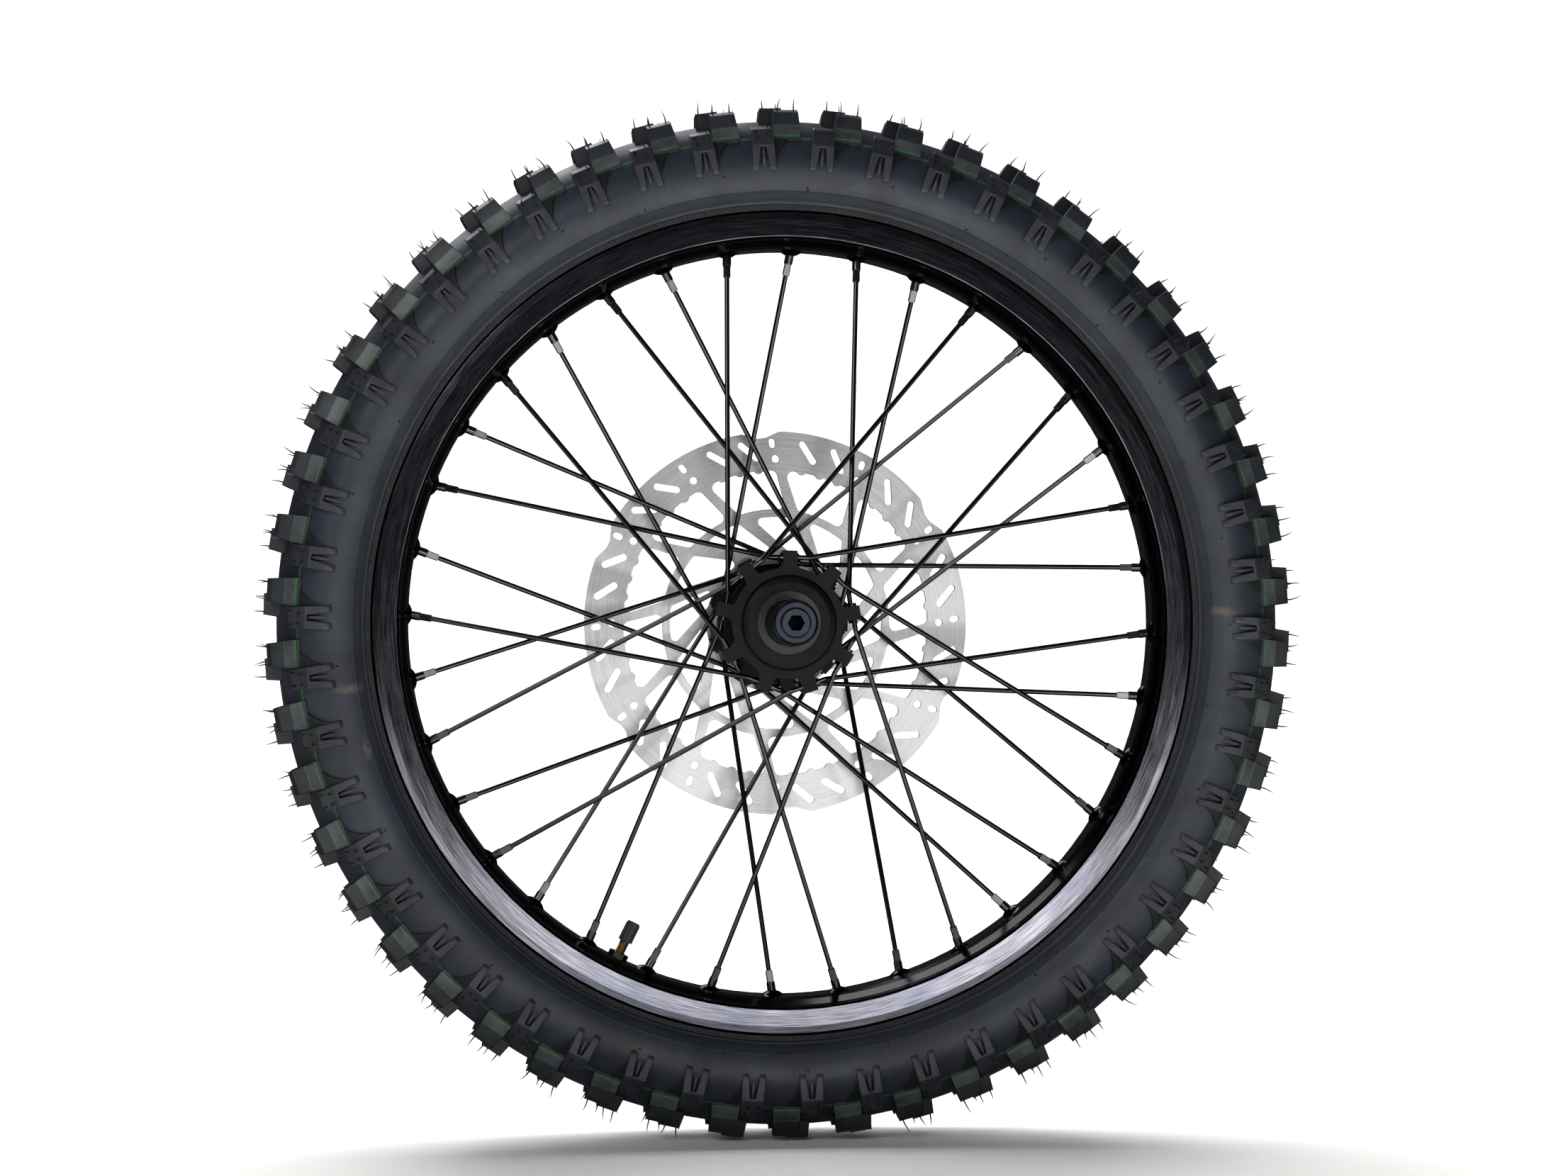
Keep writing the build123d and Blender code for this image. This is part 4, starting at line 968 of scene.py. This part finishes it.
dress(["rim"], brushed_anodised_rim())
print("rim dressed")

# %% [markdown]
# ## Black metal parts
# Spokes, nipples, axle and hub are all black, yet none is the same black. Spokes and nipples are
# steel with a gloss black coating, so they shade as a coating and not as metal. The hub is
# aluminium, bead blasted and then dyed so deeply that the metal below is hidden: it is matt and
# shines little. The axle is turned steel, chemically blacked, with fine lathe rings and an oily
# blue sheen.

# %% Black finishes
def black_finish(name, dark, light, roughness, metallic, blotch, edge, grain=None, coat=0.0,
                 shine=0.5):
    """Black part: two close tones in blotches, a grain or else lathe rings, and eased edges."""
    finish, tree, shader = new_finish(name, Metallic=metallic, Coat_Weight=coat,
                                      Coat_Roughness=0.08, Specular_IOR_Level=shine)
    place, radius, way, across = wheel_place(tree)
    patches = node(tree, "TexNoise", {"Vector": place, "Scale": 1 / (blotch * MM),
                                      "Detail": 4.0}).outputs[0]
    if grain:
        height = node(tree, "TexNoise", {"Vector": place, "Scale": 1 / (grain * MM),
                                         "Detail": 3.0}).outputs[0]
    else:
        height = round_streaks(tree, radius, way, 0.25 * MM, 9 * MM, 0.01)
    finish_with(tree, shader, layer(tree, dark, patches, 0.35, 0.65, light),
                uneven_gloss(tree, patches, roughness * 0.85, roughness * 1.2),
                relief(tree, height, 0.25, 0.05, edge))
    return finish


spoke_names = [name for name in nodes if name.startswith("spokes_")]
gloss_black = black_finish("gloss_coated_steel_wire", "#060607", "#0b0b0c", 0.16, 0.0,
                           blotch=30, edge=0.1, grain=12.0, coat=0.3)
nipple_black = black_finish("gloss_coated_steel_nipple", "#0d0d0f", "#17171a", 0.22, 0.0,
                            blotch=8, edge=0.3, grain=1.2, coat=0.7)
hub_black = black_finish("blasted_anodised_aluminium", "#08090b", "#0e0f12", 0.44, 0.0,
                         blotch=14, edge=0.5, grain=0.5, shine=0.14)
axle_black = black_finish("blacked_turned_steel", "#1a1d24", "#2a2e38", 0.3, 0.85,
                          blotch=6, edge=0.3)
nut_black = black_finish("blacked_steel_nut", "#17181b", "#222327", 0.32, 0.8,
                         blotch=5, edge=0.25, grain=0.4)
dress(spoke_names, gloss_black)
dress(["nipples"], nipple_black)
dress(["hub_shell", "spacer_near"], hub_black)
dress(["axle_shaft"], axle_black)
dress(["valve_nut"], nut_black)
print("black parts dressed:", len(spoke_names) + 5)

# %% [markdown]
# ## Bright metal
# The brake disc is stainless sheet, ground flat with a coarse stone while it turned, which leaves
# arcs of fine scratches. Handling adds broad soft smudges that run out from the middle. Bearings are
# hardened chrome steel, ground and polished. The bolts are zinc plated, and the far spacer is plain
# turned aluminium.

# %% Ground disc and turned parts
DISC_R = 0.1
SMUDGES = 5.5           # how often the smudges change on the way round
TARNISH_SIZE = 5.56     # mm across


def ground_stainless():
    """Stainless disc with grinding scratches round it and soft smudges across it."""
    finish, tree, shader = new_finish("ground_stainless_steel", Metallic=1.0)
    place, radius, way, across = wheel_place(tree)
    scratches = round_streaks(tree, radius, way, 0.22 * MM, 22 * MM, DISC_R)
    coarse = round_streaks(tree, radius, way, 0.8 * MM, 40 * MM, DISC_R)
    spread = node(tree, "VectorMath", {0: way, "Scale": SMUDGES}, operation="SCALE")
    smudge = node(tree, "TexNoise", {"Vector": spread, "Scale": 1.0, "Detail": 2.0}).outputs[0]
    metal = layer(tree, "#a9a9ac", scratches, 0.35, 0.68, "#d8d8da")
    metal = layer(tree, metal, coarse, 0.55, 0.75, "#8e8f93", 0.4)
    metal = layer(tree, metal, smudge, 0.5, 0.68, "#7c7d82", 0.5)
    finish_with(tree, shader, metal, uneven_gloss(tree, scratches, 0.34, 0.5),
                relief(tree, scratches, 0.3, 0.03, 0.25))
    brushed_shine(tree, shader, 0.6)
    return finish


def bright_metal(name, dark, light, roughness, grain, edge):
    """Bright turned or plated metal with a fine grain and slight tarnish."""
    finish, tree, shader = new_finish(name, Metallic=1.0)
    place = wheel_place(tree)[0]
    tarnish = node(tree, "TexNoise", {"Vector": place, "Scale": 1 / (TARNISH_SIZE * MM),
                                      "Detail": 4.0}).outputs[0]
    fine = node(tree, "TexNoise", {"Vector": place, "Scale": 1 / (grain * MM),
                                   "Detail": 2.0}).outputs[0]
    finish_with(tree, shader, layer(tree, light, tarnish, 0.35, 0.7, dark),
                uneven_gloss(tree, tarnish, roughness * 0.8, roughness * 1.3),
                relief(tree, fine, 0.15, 0.03, edge))
    return finish


dress(["brake_disc"], ground_stainless())
bearing_names = [name for name in nodes if name.startswith(("inner_race", "outer_race", "balls"))]
dress(bearing_names, bright_metal("polished_chrome_steel", "#8f9196", "#c4c6ca", 0.14, 0.3, 0.2))
cage_names = [name for name in nodes if name.startswith("ball_cage")]
dress(cage_names, bright_metal("pressed_mild_steel", "#7d7b76", "#a6a49e", 0.34, 0.4, 0.2))
dress(["disc_bolts"], bright_metal("zinc_plated_steel", "#96969a", "#c9cace", 0.28, 0.5, 0.3))
dress(["spacer_far", "bearing_spacer"],
      bright_metal("turned_aluminium", "#9c9da0", "#c6c7ca", 0.3, 0.5, 0.3))
print("bright parts dressed:", 4 + len(bearing_names) + len(cage_names))

# %% [markdown]
# ## Seals, strip and tube
# The lip seals are nitrile rubber, the rim strip is a soft band of black rubber, and the inner tube
# is butyl, which is smoother and a little greyer. All three lie inside, but a part that is taken
# apart shows them, so they get their own rubber.

# %% Inner rubbers
dress(["seal_near", "seal_far"],
      moulded_rubber("nitrile_seal_rubber", "#191a1c", "#242527", 0.42, 0.5))
dress(["rim_strip"], moulded_rubber("strip_rubber", "#1d1d1f", "#2a2a2c", 0.6, 0.8))
dress(["inner_tube"], moulded_rubber("butyl_rubber", "#202226", "#2e3035", 0.48, 0.9))
print("inner rubbers dressed: 4")

# %% [markdown]
# ## Valve
# The valve stem is drawn brass with a fine thread from end to end. The thread is a surface whose
# radius rises and falls once for each turn and each pitch, so it winds along the stem as a real one
# does. The cap is black nylon with grip ribs, moulded slightly glossy.

# %% Threaded brass stem
STEM_PITCH = 0.85       # mm, a little coarser than the real 0.79 so that it shows
STEM_SIDES = 28
stem_joint = next(joint for joint in frame["joints"] if joint["name"] == "valve_pin_press")
stem_way = Vector(stem_joint["axis"]).normalized()
reaches = [vertex.co.dot(stem_way) for vertex in nodes["valve_stem"].data.vertices]
stem_low, stem_high = min(reaches), max(reaches)
FOOT_THICK = 1.5 * MM
FOOT_R, STEM_R, BORE_R = 5.5, 3.0, 1.9
THREAD_DEPTH = 0.42
beside_stem = Vector((0, 1, 0))
over_stem = stem_way.cross(beside_stem)


def stem_ring(reach, radii):
    """Ring of points round the stem at a distance from the axle line."""
    ring = []
    for corner in range(STEM_SIDES):
        turn = 2 * math.pi * corner / STEM_SIDES
        out = (beside_stem * math.cos(turn) + over_stem * math.sin(turn)) * radii(turn) * MM
        ring.append(tuple(stem_way * reach + out))
    return ring


def thread_radius(reach):
    """Radius of the thread as a function of the turn, at one place along the stem."""
    def at(turn):
        phase = ((reach - stem_low) / (STEM_PITCH * MM) + turn / (2 * math.pi)) % 1.0
        return STEM_R - THREAD_DEPTH * min(1.0, abs(phase - 0.5) * 2.6)
    return at


def threaded_stem():
    """Closed stem: bore, flat tip, thread, and the round foot inside the tube."""
    foot_start = stem_high - FOOT_THICK
    rings = [stem_ring(stem_high, lambda turn: BORE_R), stem_ring(stem_low, lambda turn: BORE_R),
             stem_ring(stem_low, lambda turn: STEM_R - THREAD_DEPTH)]
    steps = int((foot_start - stem_low) / (STEM_PITCH * MM / 5))
    for step in range(1, steps):
        reach = stem_low + (foot_start - stem_low) * step / steps
        rings.append(stem_ring(reach, thread_radius(reach)))
    rings.append(stem_ring(foot_start, lambda turn: STEM_R - THREAD_DEPTH))
    rings.append(stem_ring(foot_start, lambda turn: FOOT_R))
    rings.append(stem_ring(stem_high, lambda turn: FOOT_R))
    # skin() faces the other way round here, because these rings run against the stem's own direction
    return skin(rings[::-1])


brass = bright_metal("drawn_brass", "#8a6a3a", "#c9a566", 0.26, 0.4, 0.1)
stem = mesh_object("valve_stem_threaded", *threaded_stem())
stem.data.materials.append(brass)
keep_edges(stem, 50)
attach(stem, "wheel")
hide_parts("valve_stem")
dress(["valve_core", "valve_pin"], brass)
cap_black = black_finish("moulded_black_nylon", "#1a1b1e", "#26272b", 0.38, 0.0,
                         blotch=6, edge=0.2, grain=0.3)
dress(["valve_cap"], cap_black)
print("stem faces:", len(stem.data.polygons))
